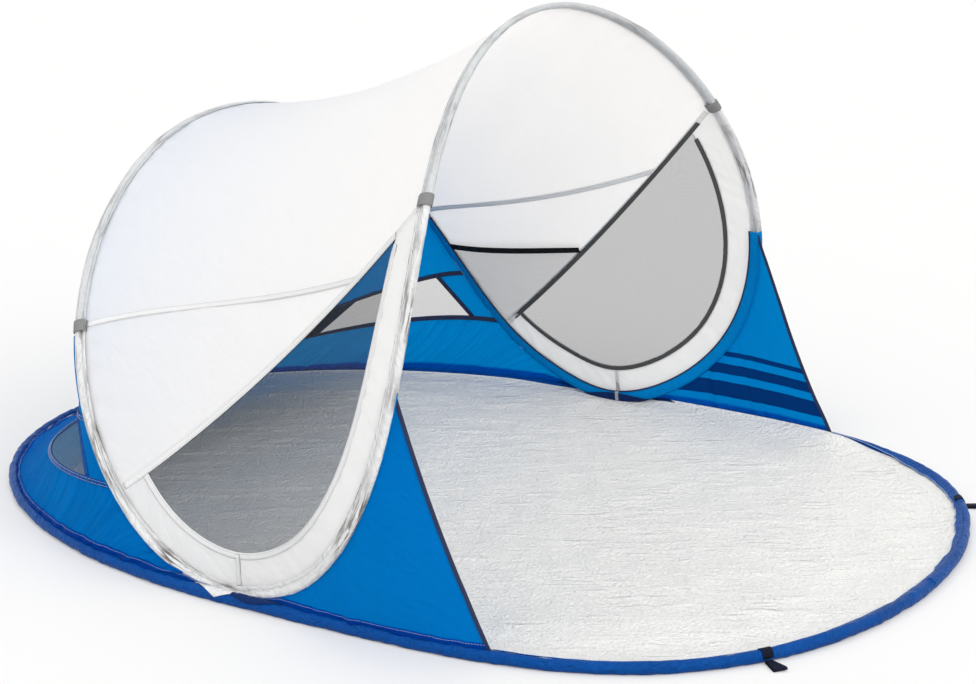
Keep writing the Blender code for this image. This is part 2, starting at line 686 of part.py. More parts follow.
def lower_wall():
    """The lower band of the back wall, from the hem up to the lower seam and, at its ends, to the sleeves."""
    end = (1 - LOWER_BAND_SEAM_SHARE) / 2

    def place_on_arm(at):
        return np.where(at < 1 / 2, -np.minimum(at / end, 1) * LOWER_SHARE,
                        np.minimum((1 - at) / end, 1) * LOWER_SHARE - 2)

    def place_on_seam(at):
        return np.clip((2 * at - 1) / LOWER_BAND_SEAM_SHARE, -1, 1)

    def on_arm(at):
        return (at < end) | (at > 1 - end)

    def top(at):
        return np.where(on_arm(at)[:, None], saddle(place_on_arm(at)), lower_seam(place_on_seam(at)))

    def top_margin(at, towards):
        at_sleeve = sleeve_margin(place_on_arm(at), towards, LEFT, SLEEVE_BOW)
        at_seam = band_margin(lower_seam, place_on_seam(at), towards)
        return np.where(on_arm(at), at_sleeve, at_seam)

    grid = threads(lambda at: floor_hoop(-2 * at), top,
                   lambda at, towards: hem_margin(-2 * at, towards), top_margin, 41, RULED_STEPS)
    slab("back_wall_lower", grid, CLOTH, BLUE_COLOUR)


def between_seams(name, from_shares, to_shares, insets, thickness, colour, count=2):
    """A panel or band of the back wall between the two seams, from one slanted side to another."""
    rows = (lower_seam, upper_seam)
    starts = [share + insets[0] / row_speed(row, share) for row, share in zip(rows, from_shares)]
    stops = [share - insets[1] / row_speed(row, share) for row, share in zip(rows, to_shares)]

    def place(at, index):
        return starts[index] + (stops[index] - starts[index]) * at

    grid = threads(lambda at: lower_seam(place(at, 0)), lambda at: upper_seam(place(at, 1)),
                   lambda at, towards: band_margin(lower_seam, place(at, 0), towards),
                   lambda at, towards: band_margin(upper_seam, place(at, 1), towards), count, RULED_STEPS)
    slab(name, grid, thickness, colour)


def back_windows():
    """The band of the back wall that holds the net windows, with blue corners and a dark middle panel."""
    edge = SEAM_BAND_WIDTH / 2 + CLOTH_GAP + CLOTH_EDGE_ROOM
    room = sleeve_room(lower_seam, LOWER_SHARE)
    half = SEAM_BAND_WIDTH / 2
    middle = np.array(WINDOW_INNER_SHARES)
    outer = np.array(WINDOW_OUTER_SHARES)
    end = np.ones_like(outer)
    between_seams("back_corner_left", -end, -outer, (room, edge), CLOTH, BLUE_COLOUR, 3)
    between_seams("back_corner_right", outer, end, (edge, room), CLOTH, BLUE_COLOUR, 3)
    between_seams("back_net_left", -outer, -middle, (edge, edge), CLOTH, NET_COLOUR, 9)
    between_seams("back_net_right", middle, outer, (edge, edge), CLOTH, NET_COLOUR, 9)
    between_seams("back_middle_panel", -middle, middle, (edge, edge), CLOTH, DARK_COLOUR, 11)
    for name, side in SIDES.items():
        for place, shares in (("outer", outer), ("inner", middle)):
            between_seams(f"window_band_{place}_{name}", side * shares, side * shares, (-half, -half),
                          SEAM_BAND_THICKNESS, NAVY_COLOUR)


def seam_bands():
    """The two dark bands along the seams of the back wall."""
    for name, row, end_share in (("lower", lower_seam, LOWER_SHARE), ("upper", upper_seam, UPPER_SHARE)):
        room = (sleeve_room(row, end_share) + SEAM_BAND_WIDTH / 2) / row_speed(row, 1.0)
        shares = np.linspace(room - 1, 1 - room, 33)
        window = upper_seam(shares) - lower_seam(shares)
        if name == "lower":
            before, after = floor_hoop(-1 - shares * LOWER_BAND_SEAM_SHARE) - row(shares), window
        else:
            before, after = -window, saddle(-1 - shares * (1 - UPPER_SHARE)) - row(shares)
        ribbon(f"seam_band_{name}", row(shares), before, after, SEAM_BAND_WIDTH, SEAM_BAND_THICKNESS, NAVY_COLOUR)


def upper_wall():
    """The upper part of the back wall, which closes the back arch."""
    def arch(at):
        return -(UPPER_SHARE + 2 * (1 - UPPER_SHARE) * at)

    clip_room = CLIP_THICKNESS + CLIP_LOOSENESS + GAP
    grid = threads(lambda at: upper_seam(2 * at - 1), lambda at: saddle(arch(at)),
                   lambda at, towards: band_margin(upper_seam, 2 * at - 1, towards),
                   lambda at, towards: sleeve_margin(arch(at), towards, LEFT, clip_room), 33, RULED_STEPS)
    slab("back_wall_upper", grid, CLOTH, BLUE_COLOUR)


def pocket():
    """The net pocket inside the right side of the roof, with an elastic top edge."""
    def on_arm(at):
        return DIAGONAL_FOOT_SHARE + (POCKET_TOP_SHARE - DIAGONAL_FOOT_SHARE) * at - 2

    def on_hem(at):
        return diagonal(POCKET_DIAGONAL_SHARE * at, RIGHT)

    grid = threads(lambda at: saddle(on_arm(at)), on_hem,
                   lambda at, towards: sleeve_margin(on_arm(at), towards), even(TAPE_WIDTH), 9, 7)
    part = np.linspace(0, 1, 7)
    bulge = np.outer(np.linspace(0, 1, 9), 4 * part * (1 - part))
    inside = facing_in(grid_normals(grid), RIGHT)
    grid = grid + inside * (POCKET_STAND_OFF + POCKET_BULGE * bulge)[:, :, None]
    slab("pocket_net", grid, CLOTH, NET_COLOUR)
    edge_band("pocket_elastic", grid, ELASTIC_WIDTH, DARK_COLOUR)


def floor_parts():
    """The floor hoop in its hem, and the ground sheet inside it."""
    pressed_out = FLOOR_ROD_RADIUS + FERRULE_WALL + 2 * GAP + HEM_WALL - HEM_WIDTH / 2

    def rod_line(shares):
        return floor_all_round(shares, pressed_out)

    hoop_rod("floor_rod", rod_line, FLOOR_ROD_RADIUS, FLOOR_ROD_RINGS,
             lambda shares: np.tile(UP, (len(shares), 1)))
    middle = FLOOR_ROD_RINGS // 4
    ferrule("floor_ferrule", rod_line(np.array([-middle, 1 - middle]) * 4 / FLOOR_ROD_RINGS), FLOOR_ROD_RADIUS)
    outline = section(HEM_WIDTH, HEM_HEIGHT)
    lining = section(HEM_WIDTH - 2 * HEM_WALL, HEM_HEIGHT - 2 * HEM_WALL)
    for name, side in SIDES.items():
        step = GAP / FLOOR_HALF_WIDTH
        shares = np.linspace(step - 1, 1 - step, HEM_RINGS)
        centres = floor_hoop(shares, side)
        along = tangents(lambda at: floor_hoop(at, side), shares)
        outward = across(np.cross(along, UP), along)
        ups = np.tile(UP, (len(shares), 1))
        hollow_tube(f"floor_hem_{name}", outline, lining, centres, outward, ups, BLUE_COLOUR)
    shares = np.linspace(0, 4, 96, endpoint=False)
    rim = floor_all_round(shares, HEM_WIDTH / 2 * CORNER_REACH_SHARE + GAP, 0.0)
    count = len(rim)
    points = np.concatenate([rim, rim + UP * SHEET_THICKNESS])
    faces = [tuple(range(count)), tuple(range(count, 2 * count))]
    faces += [(index, (index + 1) % count, (index + 1) % count + count, index + count) for index in range(count)]
    add_object("ground_sheet", points, faces, SILVER_COLOUR)


def floor_all_round(shares, inset=0.0, height=FLOOR_ROD_HEIGHT):
    """The floor hoop for shares from 0 at the left foot round by the front to 4."""
    shares = np.mod(shares, 4)
    shares = np.where(shares > 2, shares - 4, shares)
    return floor_hoop(shares, LEFT, inset, height)


def foot_ties():
    """Dark tabs that tie each foot of the saddle hoop to the hem beside it."""
    foot = saddle(0.0)[0]
    start = abs(foot[0]) + SLEEVE_THICKNESS / 2 + TIE_CLEARANCE
    low = HEM_HEIGHT + GAP
    outline = ((start, low), (start + TIE_FOOT, low), (start + TIE_FOOT, low + TIE_THICKNESS),
               (start + TIE_THICKNESS, low + TIE_THICKNESS), (start + TIE_THICKNESS, low + TIE_RISE),
               (start, low + TIE_RISE))
    count = len(outline)
    for name, side in SIDES.items():
        points = [np.array([side * wide, foot[1] + end * TIE_LENGTH / 2, high])
                  for end in (-1, 1) for wide, high in outline]
        faces = [tuple(range(count)), tuple(range(count, 2 * count))]
        faces += [(index, (index + 1) % count, (index + 1) % count + count, index + count)
                  for index in range(count)]
        add_object(f"foot_tie_{name}", points, faces, NAVY_COLOUR)


def loop_outline(inset):
    """A flattened ring with round ends, inset from the strap's outer face."""
    radius = LOOP_HEIGHT / 2 - inset
    run = LOOP_LENGTH / 2 - LOOP_HEIGHT / 2
    turns = np.linspace(-1, 1, 5) * math.pi / 2
    ends = [(end * (run + radius * math.cos(turn)), end * radius * math.sin(turn)) for end in (1, -1)
            for turn in turns]
    return np.array(ends)


def peg_loops():
    """The two webbing loops at the front for pegs, each with its origin where it bends at the hem."""
    for name, side in SIDES.items():
        centre, pivot, along, outward = peg_place(side)
        ends = np.stack([centre - along * LOOP_WIDTH / 2, centre + along * LOOP_WIDTH / 2])
        first, second = np.tile(outward, (2, 1)), np.tile(UP, (2, 1))
        hollow_tube(f"peg_loop_{name}", loop_outline(0.0), loop_outline(LOOP_STRAP), ends, first, second,
                    NAVY_COLOUR, origin=pivot)


def peg_place(side):
    """The middle of a peg loop, the point where it bends, its direction along the hem and its way out."""
    at_hem = floor_hoop(PEG_SHARE, side, 0.0, LOOP_HEIGHT / 2)[0]
    along = tangents(lambda at: floor_hoop(at, side), np.array([PEG_SHARE]))[0]
    outward = np.cross(along, UP)
    outward = outward * np.sign(np.dot(outward, at_hem))
    reach = HEM_WIDTH / 2 + LOOP_HEIGHT / 2 + CLOTH_GAP
    pivot = at_hem + outward * reach
    return pivot + outward * (LOOP_LENGTH - LOOP_HEIGHT) / 2, pivot, along, outward


def main():
    """Builds the whole tent."""
    for thing in list(bpy.data.objects):
        bpy.data.objects.remove(thing, do_unlink=True)
    floor_parts()
    saddle_hoop()
    clips()
    roof()
    for name, side in SIDES.items():
        side_net(name, side)
        wing(name, side)
    lower_wall()
    back_windows()
    seam_bands()
    upper_wall()
    pocket()
    foot_ties()
    peg_loops()


main()
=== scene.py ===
"""A pop-up beach tent, dressed in its cloths, nets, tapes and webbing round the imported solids.

The tent stands on z = 0 and its open front faces -Y. Left is -X. Lengths are in metres. The classes have their angles
in degrees, apart from the laps and the flange's turn round the hem and a cloth's grain, which are in radians.
"""
import logging
import math
from dataclasses import dataclass, field, replace
from enum import Enum
from typing import Callable, Sequence

import bpy
import numpy as np
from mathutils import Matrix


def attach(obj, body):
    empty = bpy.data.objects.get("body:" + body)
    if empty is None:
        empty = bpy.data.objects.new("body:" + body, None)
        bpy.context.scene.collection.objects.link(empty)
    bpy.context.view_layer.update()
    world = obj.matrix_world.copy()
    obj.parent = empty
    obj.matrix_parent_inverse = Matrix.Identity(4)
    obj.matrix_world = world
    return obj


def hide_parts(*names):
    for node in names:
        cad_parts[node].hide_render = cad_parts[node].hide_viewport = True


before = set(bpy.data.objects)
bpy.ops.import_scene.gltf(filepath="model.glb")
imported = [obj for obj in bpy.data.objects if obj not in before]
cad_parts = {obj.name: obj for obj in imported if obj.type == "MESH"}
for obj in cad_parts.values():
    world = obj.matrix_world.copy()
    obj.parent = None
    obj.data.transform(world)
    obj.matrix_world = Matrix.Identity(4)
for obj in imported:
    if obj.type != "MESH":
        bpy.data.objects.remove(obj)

LOG = logging.getLogger("beach_tent")
Curve = Callable[[np.ndarray], np.ndarray]
Margin = Callable[[np.ndarray, np.ndarray], np.ndarray]
Socket = bpy.types.NodeSocket
Colour = bpy.types.NodeSocket | tuple[float, float, float, float]

MM = 0.001
BODY = "tent"
LEFT, RIGHT = -1, 1
SIDES = {"left": LEFT, "right": RIGHT}
UP = np.array([0.0, 0.0, 1.0])
SLOPE_STEP = 0.002
FINE_STEPS = 800
SHORTEST_CLOTH = 2 * MM
STEEPEST_SLANT = 0.97
NOISE_CELLS = 97
STRIPE_HEIGHTS = ((0.045, 0.075), (0.090, 0.110), (0.125, 0.135))


class Weave(Enum):
    """How a cloth is made, which sets the pattern that its threads draw."""

    PLAIN = "plain"
    RIBBED = "ribbed"
    NET = "net"


def unit(vectors: np.ndarray) -> np.ndarray:
    """Vectors of length one."""
    length = np.linalg.norm(vectors, axis=-1, keepdims=True)
    return vectors / np.where(length > 0, length, 1)


def across(vectors: np.ndarray, along: np.ndarray) -> np.ndarray:
    """The part of each vector that is square to a unit direction, at length one."""
    return unit(vectors - np.sum(vectors * along, axis=-1, keepdims=True) * along)


def tangents(curve: Curve, shares: np.ndarray) -> np.ndarray:
    """Unit directions along a curve that is a function of shares."""
    return unit(curve(shares + SLOPE_STEP) - curve(shares - SLOPE_STEP))


def line_way(points: np.ndarray) -> np.ndarray:
    """Unit directions along a line of points."""
    return unit(np.gradient(points, axis=0))


def grid_normals(grid: np.ndarray) -> np.ndarray:
    """Unit normals of a surface given as a grid of points."""
    return unit(np.cross(np.gradient(grid, axis=0), np.gradient(grid, axis=1)))


def facing_in(normals: np.ndarray, side: int) -> np.ndarray:
    """Normals on one side of the tent, turned towards its middle plane."""
    return normals * -np.sign(normals[..., :1]) * side


def facing_out(normals: np.ndarray, points: np.ndarray) -> np.ndarray:
    """Normals turned so that they point the same way as the places of their points."""
    return normals * np.sign(np.sum(normals * points, axis=-1, keepdims=True))


def facing_up(normals: np.ndarray) -> np.ndarray:
    """Normals turned so that they point upwards."""
    return normals * np.sign(normals[..., 2:])


def smooth(value: np.ndarray) -> np.ndarray:
    """A soft step from 0 to 1 for values from 0 to 1."""
    held = np.clip(value, 0, 1)
    return held * held * (3 - 2 * held)


def noise(across_u: np.ndarray, across_v: np.ndarray | float, size: float, seed: int) -> np.ndarray:
    """Smooth random heights from -1 to 1 over a plane.

    Args:
        across_u: First coordinate of each point, in metres.
        across_v: Second coordinate of each point, or of all of them.
        size: Width of a bump, in metres.
        seed: Which random table is used.

    Returns:
        One height for each point.
    """
    table = np.random.default_rng(seed).random((NOISE_CELLS, NOISE_CELLS)) * 2 - 1
    wide, long = across_u / size, across_v / size
    row, column = np.floor(wide).astype(int), np.floor(long).astype(int)
    part_row, part_column = smooth(wide - row), smooth(long - column)
    corners = [table[(row + down) % NOISE_CELLS, (column + over) % NOISE_CELLS] for down in (0, 1) for over in (0, 1)]
    near = corners[0] * (1 - part_column) + corners[1] * part_column
    far = corners[2] * (1 - part_column) + corners[3] * part_column
    return near * (1 - part_row) + far * part_row


def ridges(across_u: np.ndarray, across_v: np.ndarray, size: float, seed: int) -> np.ndarray:
    """Sharp creases between soft hollows, from 0 to 1."""
    warp = noise(across_u, across_v, size * 1.7, seed + 50) * size / 2
    return 1 - np.abs(noise(across_u + warp, across_v - warp, size, seed))


@dataclass(frozen=True)
class HoopShape:
    """Outlines of the two spring hoops, as the solids have them."""

    floor_half_width: float = 0.638
    front_reach: float = 0.915
    rear_reach: float = 0.853
    front_height: float = 0.878
    back_height: float = 0.649
    arm_half_width: float = 0.651
    arm_lean: float = 0.300
    arm_reach: float = 0.480
    foot_inset: float = 0.020
    foot_height: float = 0.0144
    rod_height: float = 0.010
    front_power: float = 4.0
    rear_power: float = 2.1
    hub_share: float = 0.400
    front_arm: tuple = (
        (0.968, 0.396, 0.059), (1.000, 0.725, 0.158), (0.987, 0.938, 0.311), (0.923, 1.000, 0.496),
        (0.789, 0.938, 0.685), (0.581, 0.805, 0.850), (0.308, 0.679, 0.960), (0.000, 0.630, 1.000),
    )
    back_arm: tuple = (
        (0.952, 0.247, 0.060), (0.934, 0.468, 0.163), (0.900, 0.645, 0.320), (0.829, 0.779, 0.506),
        (0.702, 0.877, 0.692), (0.513, 0.945, 0.853), (0.273, 0.987, 0.963), (0.000, 1.000, 1.000),
    )
    points: np.ndarray = field(init=False, repr=False)
    slopes: np.ndarray = field(init=False, repr=False)
    quarters: tuple = field(init=False, repr=False)

    def __post_init__(self) -> None:
        """Works out the spline of the saddle hoop and the arc lengths of the floor outline."""
        points = self.saddle_points()
        count = len(points)
        system = np.eye(count) * 4 + np.roll(np.eye(count), 1, 0) + np.roll(np.eye(count), -1, 0)
        chords = np.roll(points, -1, axis=0) - np.roll(points, 1, axis=0)
        object.__setattr__(self, "points", points)
        object.__setattr__(self, "slopes", np.linalg.solve(system, 3 * chords))
        object.__setattr__(self, "quarters", (self.quarter(self.front_reach, self.front_power),
                                              self.quarter(self.rear_reach, self.rear_power)))

    @property
    def foot_line(self) -> float:
        """Place along Y of the line through both feet."""
        return (self.front_reach - self.rear_reach) / 2

    def saddle_points(self) -> np.ndarray:
        """Stations of the saddle hoop: left foot, front arm, over, right foot and round by the back.

        Returns:
            Points in turn, each at an even number of shares.
        """
        foot = np.array([[self.floor_half_width - self.foot_inset, self.foot_line, self.foot_height]])
        base, scale = np.array([0, self.foot_line, 0]), np.array([self.arm_half_width, 1, 1])
        front = base + np.array(self.front_arm) * scale * [1, -self.arm_lean, self.front_height]
        back = base + np.array(self.back_arm) * scale * [1, self.arm_reach, self.back_height]
        mirror = np.array([-1, 1, 1])
        right = np.concatenate([foot, front[:-1]])
        return np.concatenate([right * mirror, front[-1:], right[::-1], back, back[:-1][::-1] * mirror])

    def quarter(self, reach: float, power: float) -> tuple[np.ndarray, np.ndarray, np.ndarray]:
        """A quarter of the floor outline: shares of its length with their half width and reach.

        Args:
            reach: Distance from the foot line to the end of the hoop.
            power: How blunt that end is.

        Returns:
            Shares of the quarter's length, half widths and reaches.
        """
        turn = np.linspace(0, 1, FINE_STEPS) ** 2 * math.pi / 2
        wide = self.floor_half_width * np.cos(turn)
        along = reach * np.sin(turn) ** (2 / power)
        run = np.concatenate([[0], np.cumsum(np.hypot(np.diff(wide), np.diff(along)))])
        return run / run[-1], wide, along

    def saddle(self, share: np.ndarray | float, side: int = LEFT) -> np.ndarray:
        """Points of the saddle hoop: 0 at the foot, 1 at the front arch top and -1 at the back arch top.

        Args:
            share: Places along the hoop. It is four shares long.
            side: LEFT or RIGHT.

        Returns:
            One point for each share.
        """
        count = len(self.points)
        place = np.mod(np.atleast_1d(np.asarray(share, dtype=float)) / 4, 1.0) * count
        start = np.floor(place).astype(int) % count
        stop = (start + 1) % count
        part = (place - np.floor(place))[:, None]
        step = self.points[stop] - self.points[start]
        lead, trail = self.slopes[start], self.slopes[stop]
        bend = 3 * step - 2 * lead - trail
        points = self.points[start] + part * (lead + part * (bend + part * (lead + trail - 2 * step)))
        return points * np.array([-side, 1, 1])

    def flat_outline(self, share: np.ndarray) -> tuple[np.ndarray, np.ndarray]:
        """Half width and place along Y of the floor outline for shares from -1 to 1.

        Args:
            share: Places along the hoop.

        Returns:
            Half widths and places along Y.
        """
        folded = np.where(np.abs(share) > 1, 2 - np.abs(share), np.abs(share))
        front, rear = ([np.interp(folded, quarter[0], column) for column in quarter[1:]]
                       for quarter in self.quarters)
        wide = np.where(share > 0, front[0], rear[0]) * np.where(np.abs(share) > 1, -1, 1)
        return wide, self.foot_line + np.where(share > 0, -front[1], rear[1])

    def floor(self, share: np.ndarray | float, side: int = LEFT, inset: np.ndarray | float = 0.0,
              height: np.ndarray | float | None = None) -> np.ndarray:
        """Points of the floor hoop: 0 beside the foot, 1 at the front middle and -1 at the rear middle.

        Args:
            share: Places along the hoop. Beyond 1 or -1 they run along the other side.
            side: LEFT or RIGHT.
            inset: How far the points are moved into the floor.
            height: Height of the points above the ground, or None for the rod's own height.

        Returns:
            One point for each share.
        """
        height = self.rod_height if height is None else height
        share = np.atleast_1d(np.asarray(share, dtype=float))
        ahead, behind = self.flat_outline(share + SLOPE_STEP), self.flat_outline(share - SLOPE_STEP)
        along = unit(np.stack([ahead[0] - behind[0], ahead[1] - behind[1]], -1))
        wide, fore = self.flat_outline(share)
        wide, fore = wide + inset * along[:, 1], fore - inset * along[:, 0]
        return np.stack([side * wide, fore, height + np.zeros_like(wide)], -1)

    def floor_outward(self, share: np.ndarray, side: int) -> np.ndarray:
        """Level directions out of the floor, square to the hoop."""
        return facing_out(np.cross(tangents(lambda at: self.floor(at, side), share), UP), self.floor(share, side))

    def hollow_middle(self, share: np.ndarray, side: int = LEFT) -> np.ndarray:
        """Points midway between the two arms, held at the hub's height for places near the foot."""
        held = np.clip(np.abs(share), self.hub_share, 2 - self.hub_share)
        return (self.saddle(held, side) + self.saddle(-held, side)) / 2

    def sleeve_frame(self, share: np.ndarray | float, side: int = LEFT) -> tuple[np.ndarray, ...]:
        """Centre, direction along, direction into the cloth, and direction through the sleeve.

        Args:
            share: Places along the saddle hoop.
            side: LEFT or RIGHT.

        Returns:
            Four arrays, with one row for each share.
        """
        share = np.atleast_1d(np.asarray(share, dtype=float))
        centre = self.saddle(share, side)
        along = tangents(lambda at: self.saddle(at, side), share)
        inner = across(self.hollow_middle(share, side) - centre, along)
        return centre, along, inner, np.cross(along, inner)

    def arm_share(self, height: float) -> float:
        """The share of the back arm at which the rod is at a height."""
        shares = np.linspace(0, 1, FINE_STEPS)
        return float(np.interp(height, self.saddle(-shares)[:, 2], shares))


HOOPS = HoopShape()


@dataclass(frozen=True)
class CutShape:
    """Where the cloths are cut and sewn: shares of the saddle arms, seam rows and depths."""

    front_clip: float = 0.664
    back_clip: float = 0.540
    diagonal_foot: float = 0.283
    wing_top: float = 0.472
    wing_foot: float = 0.365
    facing_width: float = 0.062
    facing_tilt: float = 16.5
    roof_sag: float = 0.046
    diagonal_sag: float = 0.026
    waist: float = 0.030
    diagonal_waist: float = 0.020
    wing_sag: float = 0.010
    seam_meets_hem: float = 0.780
    seam_turn: float = 1.65
    lower_ends: tuple = (0.137, 0.090, 0.675)
    upper_ends: tuple = (0.233, 0.190, 0.488)
    band_seam: float = 0.80
    window_outer: tuple = (0.900, 0.782)
    window_inner: tuple = (0.447, 0.423)

    def roof_back(self, places: np.ndarray) -> np.ndarray:
        """Shares of the roof's back edge, from the left diagonal over the arch to the right one."""
        return -(self.diagonal_foot + 2 * (1 - self.diagonal_foot) * places)

    def roof_front(self, places: np.ndarray) -> np.ndarray:
        """Shares of the roof's front edge, from the left diagonal over the arch to the right one."""
        return self.front_clip + 2 * (1 - self.front_clip) * places

    def sag(self, places: np.ndarray) -> np.ndarray:
        """How the roof hangs in: down along the middle and in at the sides.

        Args:
            places: Places round the arch.

        Returns:
            One vector for each place.
        """
        down = self.diagonal_sag + (self.roof_sag - self.diagonal_sag) * np.sin(math.pi * places)
        inward = self.waist * np.sin(math.tau * places) + self.diagonal_waist * np.cos(math.pi * places)
        return np.stack([inward, np.zeros_like(down), -down], -1)

    def roof(self, places: np.ndarray, shares: np.ndarray, side: int = LEFT) -> np.ndarray:
        """Points of the roof for places round the arch and shares from the back to the front.

        Args:
            places: Places round the arch, from 0 on the left to 1 on the right.
            shares: Shares from the back arch to the front one.
            side: LEFT, or RIGHT for the mirror image.

        Returns:
            One point for each place.
        """
        back, front = HOOPS.saddle(self.roof_back(places)), HOOPS.saddle(self.roof_front(places))
        part = shares[:, None]
        points = back * (1 - part) + front * part + self.sag(places) * 4 * part * (1 - part)
        return points * np.array([-side, 1, 1])

    def diagonal(self, shares: np.ndarray, side: int = LEFT) -> np.ndarray:
        """Points of the roof's slanted lower hem: 0 on the back arm and 1 on the front arm."""
        return self.roof(np.zeros_like(shares), shares, side)

    def facing_way(self, share: np.ndarray, side: int = LEFT) -> np.ndarray:
        """Directions from the rod into a side's facing, tilted at its ends to meet the slanted hem there.

        Args:
            share: Places along the saddle hoop.
            side: LEFT or RIGHT.

        Returns:
            One direction for each share.
        """
        share = np.atleast_1d(np.asarray(share, dtype=float))
        _, _, inner, through = HOOPS.sleeve_frame(share, side)
        middle, spread = (self.front_clip - self.diagonal_foot) / 2, (self.front_clip + self.diagonal_foot) / 2
        tilt = np.radians(self.facing_tilt) * ((share - middle) / spread)[:, None] ** 2 * side
        return inner * np.cos(tilt) + through * np.sin(tilt)

    def facing(self, share: np.ndarray, depth: float, side: int = LEFT) -> np.ndarray:
        """Points of a side's facing, at a depth from the rod."""
        return HOOPS.saddle(share, side) + self.facing_way(share, side) * depth

    def crossing(self, arm: int, depth: float) -> tuple[float, float]:
        """Where a line at a depth from the rod meets the slanted hem: its share of the arm and of the hem.

        Args:
            arm: 1 for the front arm and -1 for the back one.
            depth: Distance from the rod.

        Returns:
            The share of the arm, and the share of the hem.
        """
        tried = np.linspace(HOOPS.hub_share / 4, self.front_clip if arm > 0 else self.diagonal_foot, FINE_STEPS)
        shares = np.linspace(0, 1, FINE_STEPS)
        line, hem = self.facing(arm * tried, depth), self.diagonal(shares)
        apart = np.linalg.norm(line[:, None] - hem[None], axis=-1)
        row, column = np.unravel_index(np.argmin(apart), apart.shape)
        return float(arm * tried[row]), float(shares[column])

    def seam(self, ends: tuple[float, float, float]) -> Curve:
        """A seam across the back wall: -1 on the left sleeve, 0 in the middle and 1 on the right one.

        Args:
            ends: Height at the sleeves, height in the middle, and reach behind the foot line.

        Returns:
            The seam as a function of shares.
        """
        end_height, middle_height, reach = ends
        end = HOOPS.saddle(-HOOPS.arm_share(end_height))[0]

        def row(shares: np.ndarray) -> np.ndarray:
            """Points of the seam, which bulges to the back and up or down in its middle.

            Args:
                shares: Shares of the seam, from -1 on the left to 1 on the right.

            Returns:
                One point for each share.
            """
            turn = np.atleast_1d(shares) * math.pi / 2
            bulge = np.cos(turn)
            return np.stack([-end[0] * np.sin(turn), end[1] + (HOOPS.foot_line + reach - end[1]) * bulge,
                             end[2] - (end[2] - middle_height) * bulge ** 2], -1)

        return row


CUT = CutShape()


def held(curve: Curve, room: float) -> Margin:
    """A margin that keeps the edge of a cloth a given room from the line that it is sewn to.

    Args:
        curve: The line, as a function of places from 0 to 1.
        room: Clear width between the line and the cloth's edge. Below zero the cloth runs past the line.

    Returns:
        The margin as a function of the places and of the far ends of the threads.
    """
    def margin(places: np.ndarray, towards: np.ndarray) -> np.ndarray:
        """More room along a thread that leaves the line at a slant."""
        lean = np.sum(unit(towards - curve(places)) * tangents(curve, places), axis=-1)
        return room / np.sqrt(1 - np.clip(lean, -STEEPEST_SLANT, STEEPEST_SLANT) ** 2)

    return margin


def threads(low: Curve, high: Curve, margins: tuple[Margin, Margin], counts: tuple[int, int],
            sag: Curve | None = None) -> np.ndarray:
    """A grid of points on threads that run from one sewn line to another.

    Args:
        low: The first line, as a function of places from 0 to 1.
        high: The second line.
        margins: How far the cloth's edge is from each line.
        counts: Number of threads, and of points on each.
        sag: The greatest sag vector of each thread, as a function of the places.

    Returns:
        Points as an array of threads by points by 3.
    """
    def ends(places: np.ndarray) -> tuple[np.ndarray, ...]:
        """Both ends of the threads, their lengths, and their margins.

        Args:
            places: Places along both lines.

        Returns:
            First points, last points, lengths, margins at the first line and at the last.
        """
        first, last = low(places), high(places)
        return (first, last, np.linalg.norm(last - first, axis=-1),
                margins[0](places, last), margins[1](places, first))

    tried = np.linspace(0, 1, FINE_STEPS)
    _, _, length, near, far = ends(tried)
    sewn = tried[length - near - far > SHORTEST_CLOTH]
    places = np.linspace(sewn[0], sewn[-1], counts[0])
    first, last, length, near, far = ends(places)
    part = np.linspace(0, 1, counts[1])[None, :]
    begin, end = (near / length)[:, None], (1 - far / length)[:, None]
    share = (begin + (end - begin) * part)[:, :, None]
    grid = first[:, None] * (1 - share) + last[:, None] * share
    if sag is not None:
        grid = grid + sag(places)[:, None] * 4 * share * (1 - share)
    return grid


def runs(grid: np.ndarray) -> tuple[np.ndarray, np.ndarray]:
    """Distances over a grid along its rows and along its columns, in metres.

    Args:
        grid: Rows by columns by 3 points.

    Returns:
        Distances from the middle row, and from the first column.
    """
    down = np.linalg.norm(np.diff(grid, axis=0), axis=-1)
    over = np.linalg.norm(np.diff(grid, axis=1), axis=-1)
    first = np.concatenate([np.zeros((1, grid.shape[1])), np.cumsum(down, 0)])
    second = np.concatenate([np.zeros((grid.shape[0], 1)), np.cumsum(over, 1)], 1)
    return first - first[len(first) // 2], second


@dataclass(frozen=True)
class Creases:
    """Creases of a taut cloth: small crumples, long soft folds, and puckers along the sewn edges."""

    crumple: float = 0.5 * MM
    crumple_size: float = 0.045
    fold: float = 1.4 * MM
    fold_size: float = 0.070
    stretch: float = 5.0
    pucker: float = 1.0 * MM
    pucker_size: float = 0.020
    pucker_reach: float = 0.045
    slant: float = 0.0
    edge_reach: float = 20 * MM
    sewn_flat: float = 4 * MM
    tip: float = 0.10
    seed: int = 1

    def press(self, grid: np.ndarray) -> np.ndarray:
        """The grid with creases pressed into it along its normals.

        Args:
            grid: Points of the smooth cloth, threads by points by 3.

        Returns:
            Points of the creased cloth.
        """
        along, over = runs(grid)
        width = over[:, -1:]
        edge = np.minimum(over, width - over)
        free = smooth(edge / self.edge_reach)
        leaning = along + over * self.slant
        height = self.crumple * (ridges(along, over, self.crumple_size, self.seed) - 1 / 2) * free
        height = height + self.fold * noise(leaning, over / self.stretch, self.fold_size, self.seed + 7) * free
        wave = noise(along, 0.0, self.pucker_size, self.seed + 11)
        for distance in (over, width - over):
            fade = np.exp(-distance / self.pucker_reach) * smooth(distance / self.sewn_flat)
            height = height + self.pucker * wave * fade
        return grid + grid_normals(grid) * (height * smooth(width / self.tip))[:, :, None]


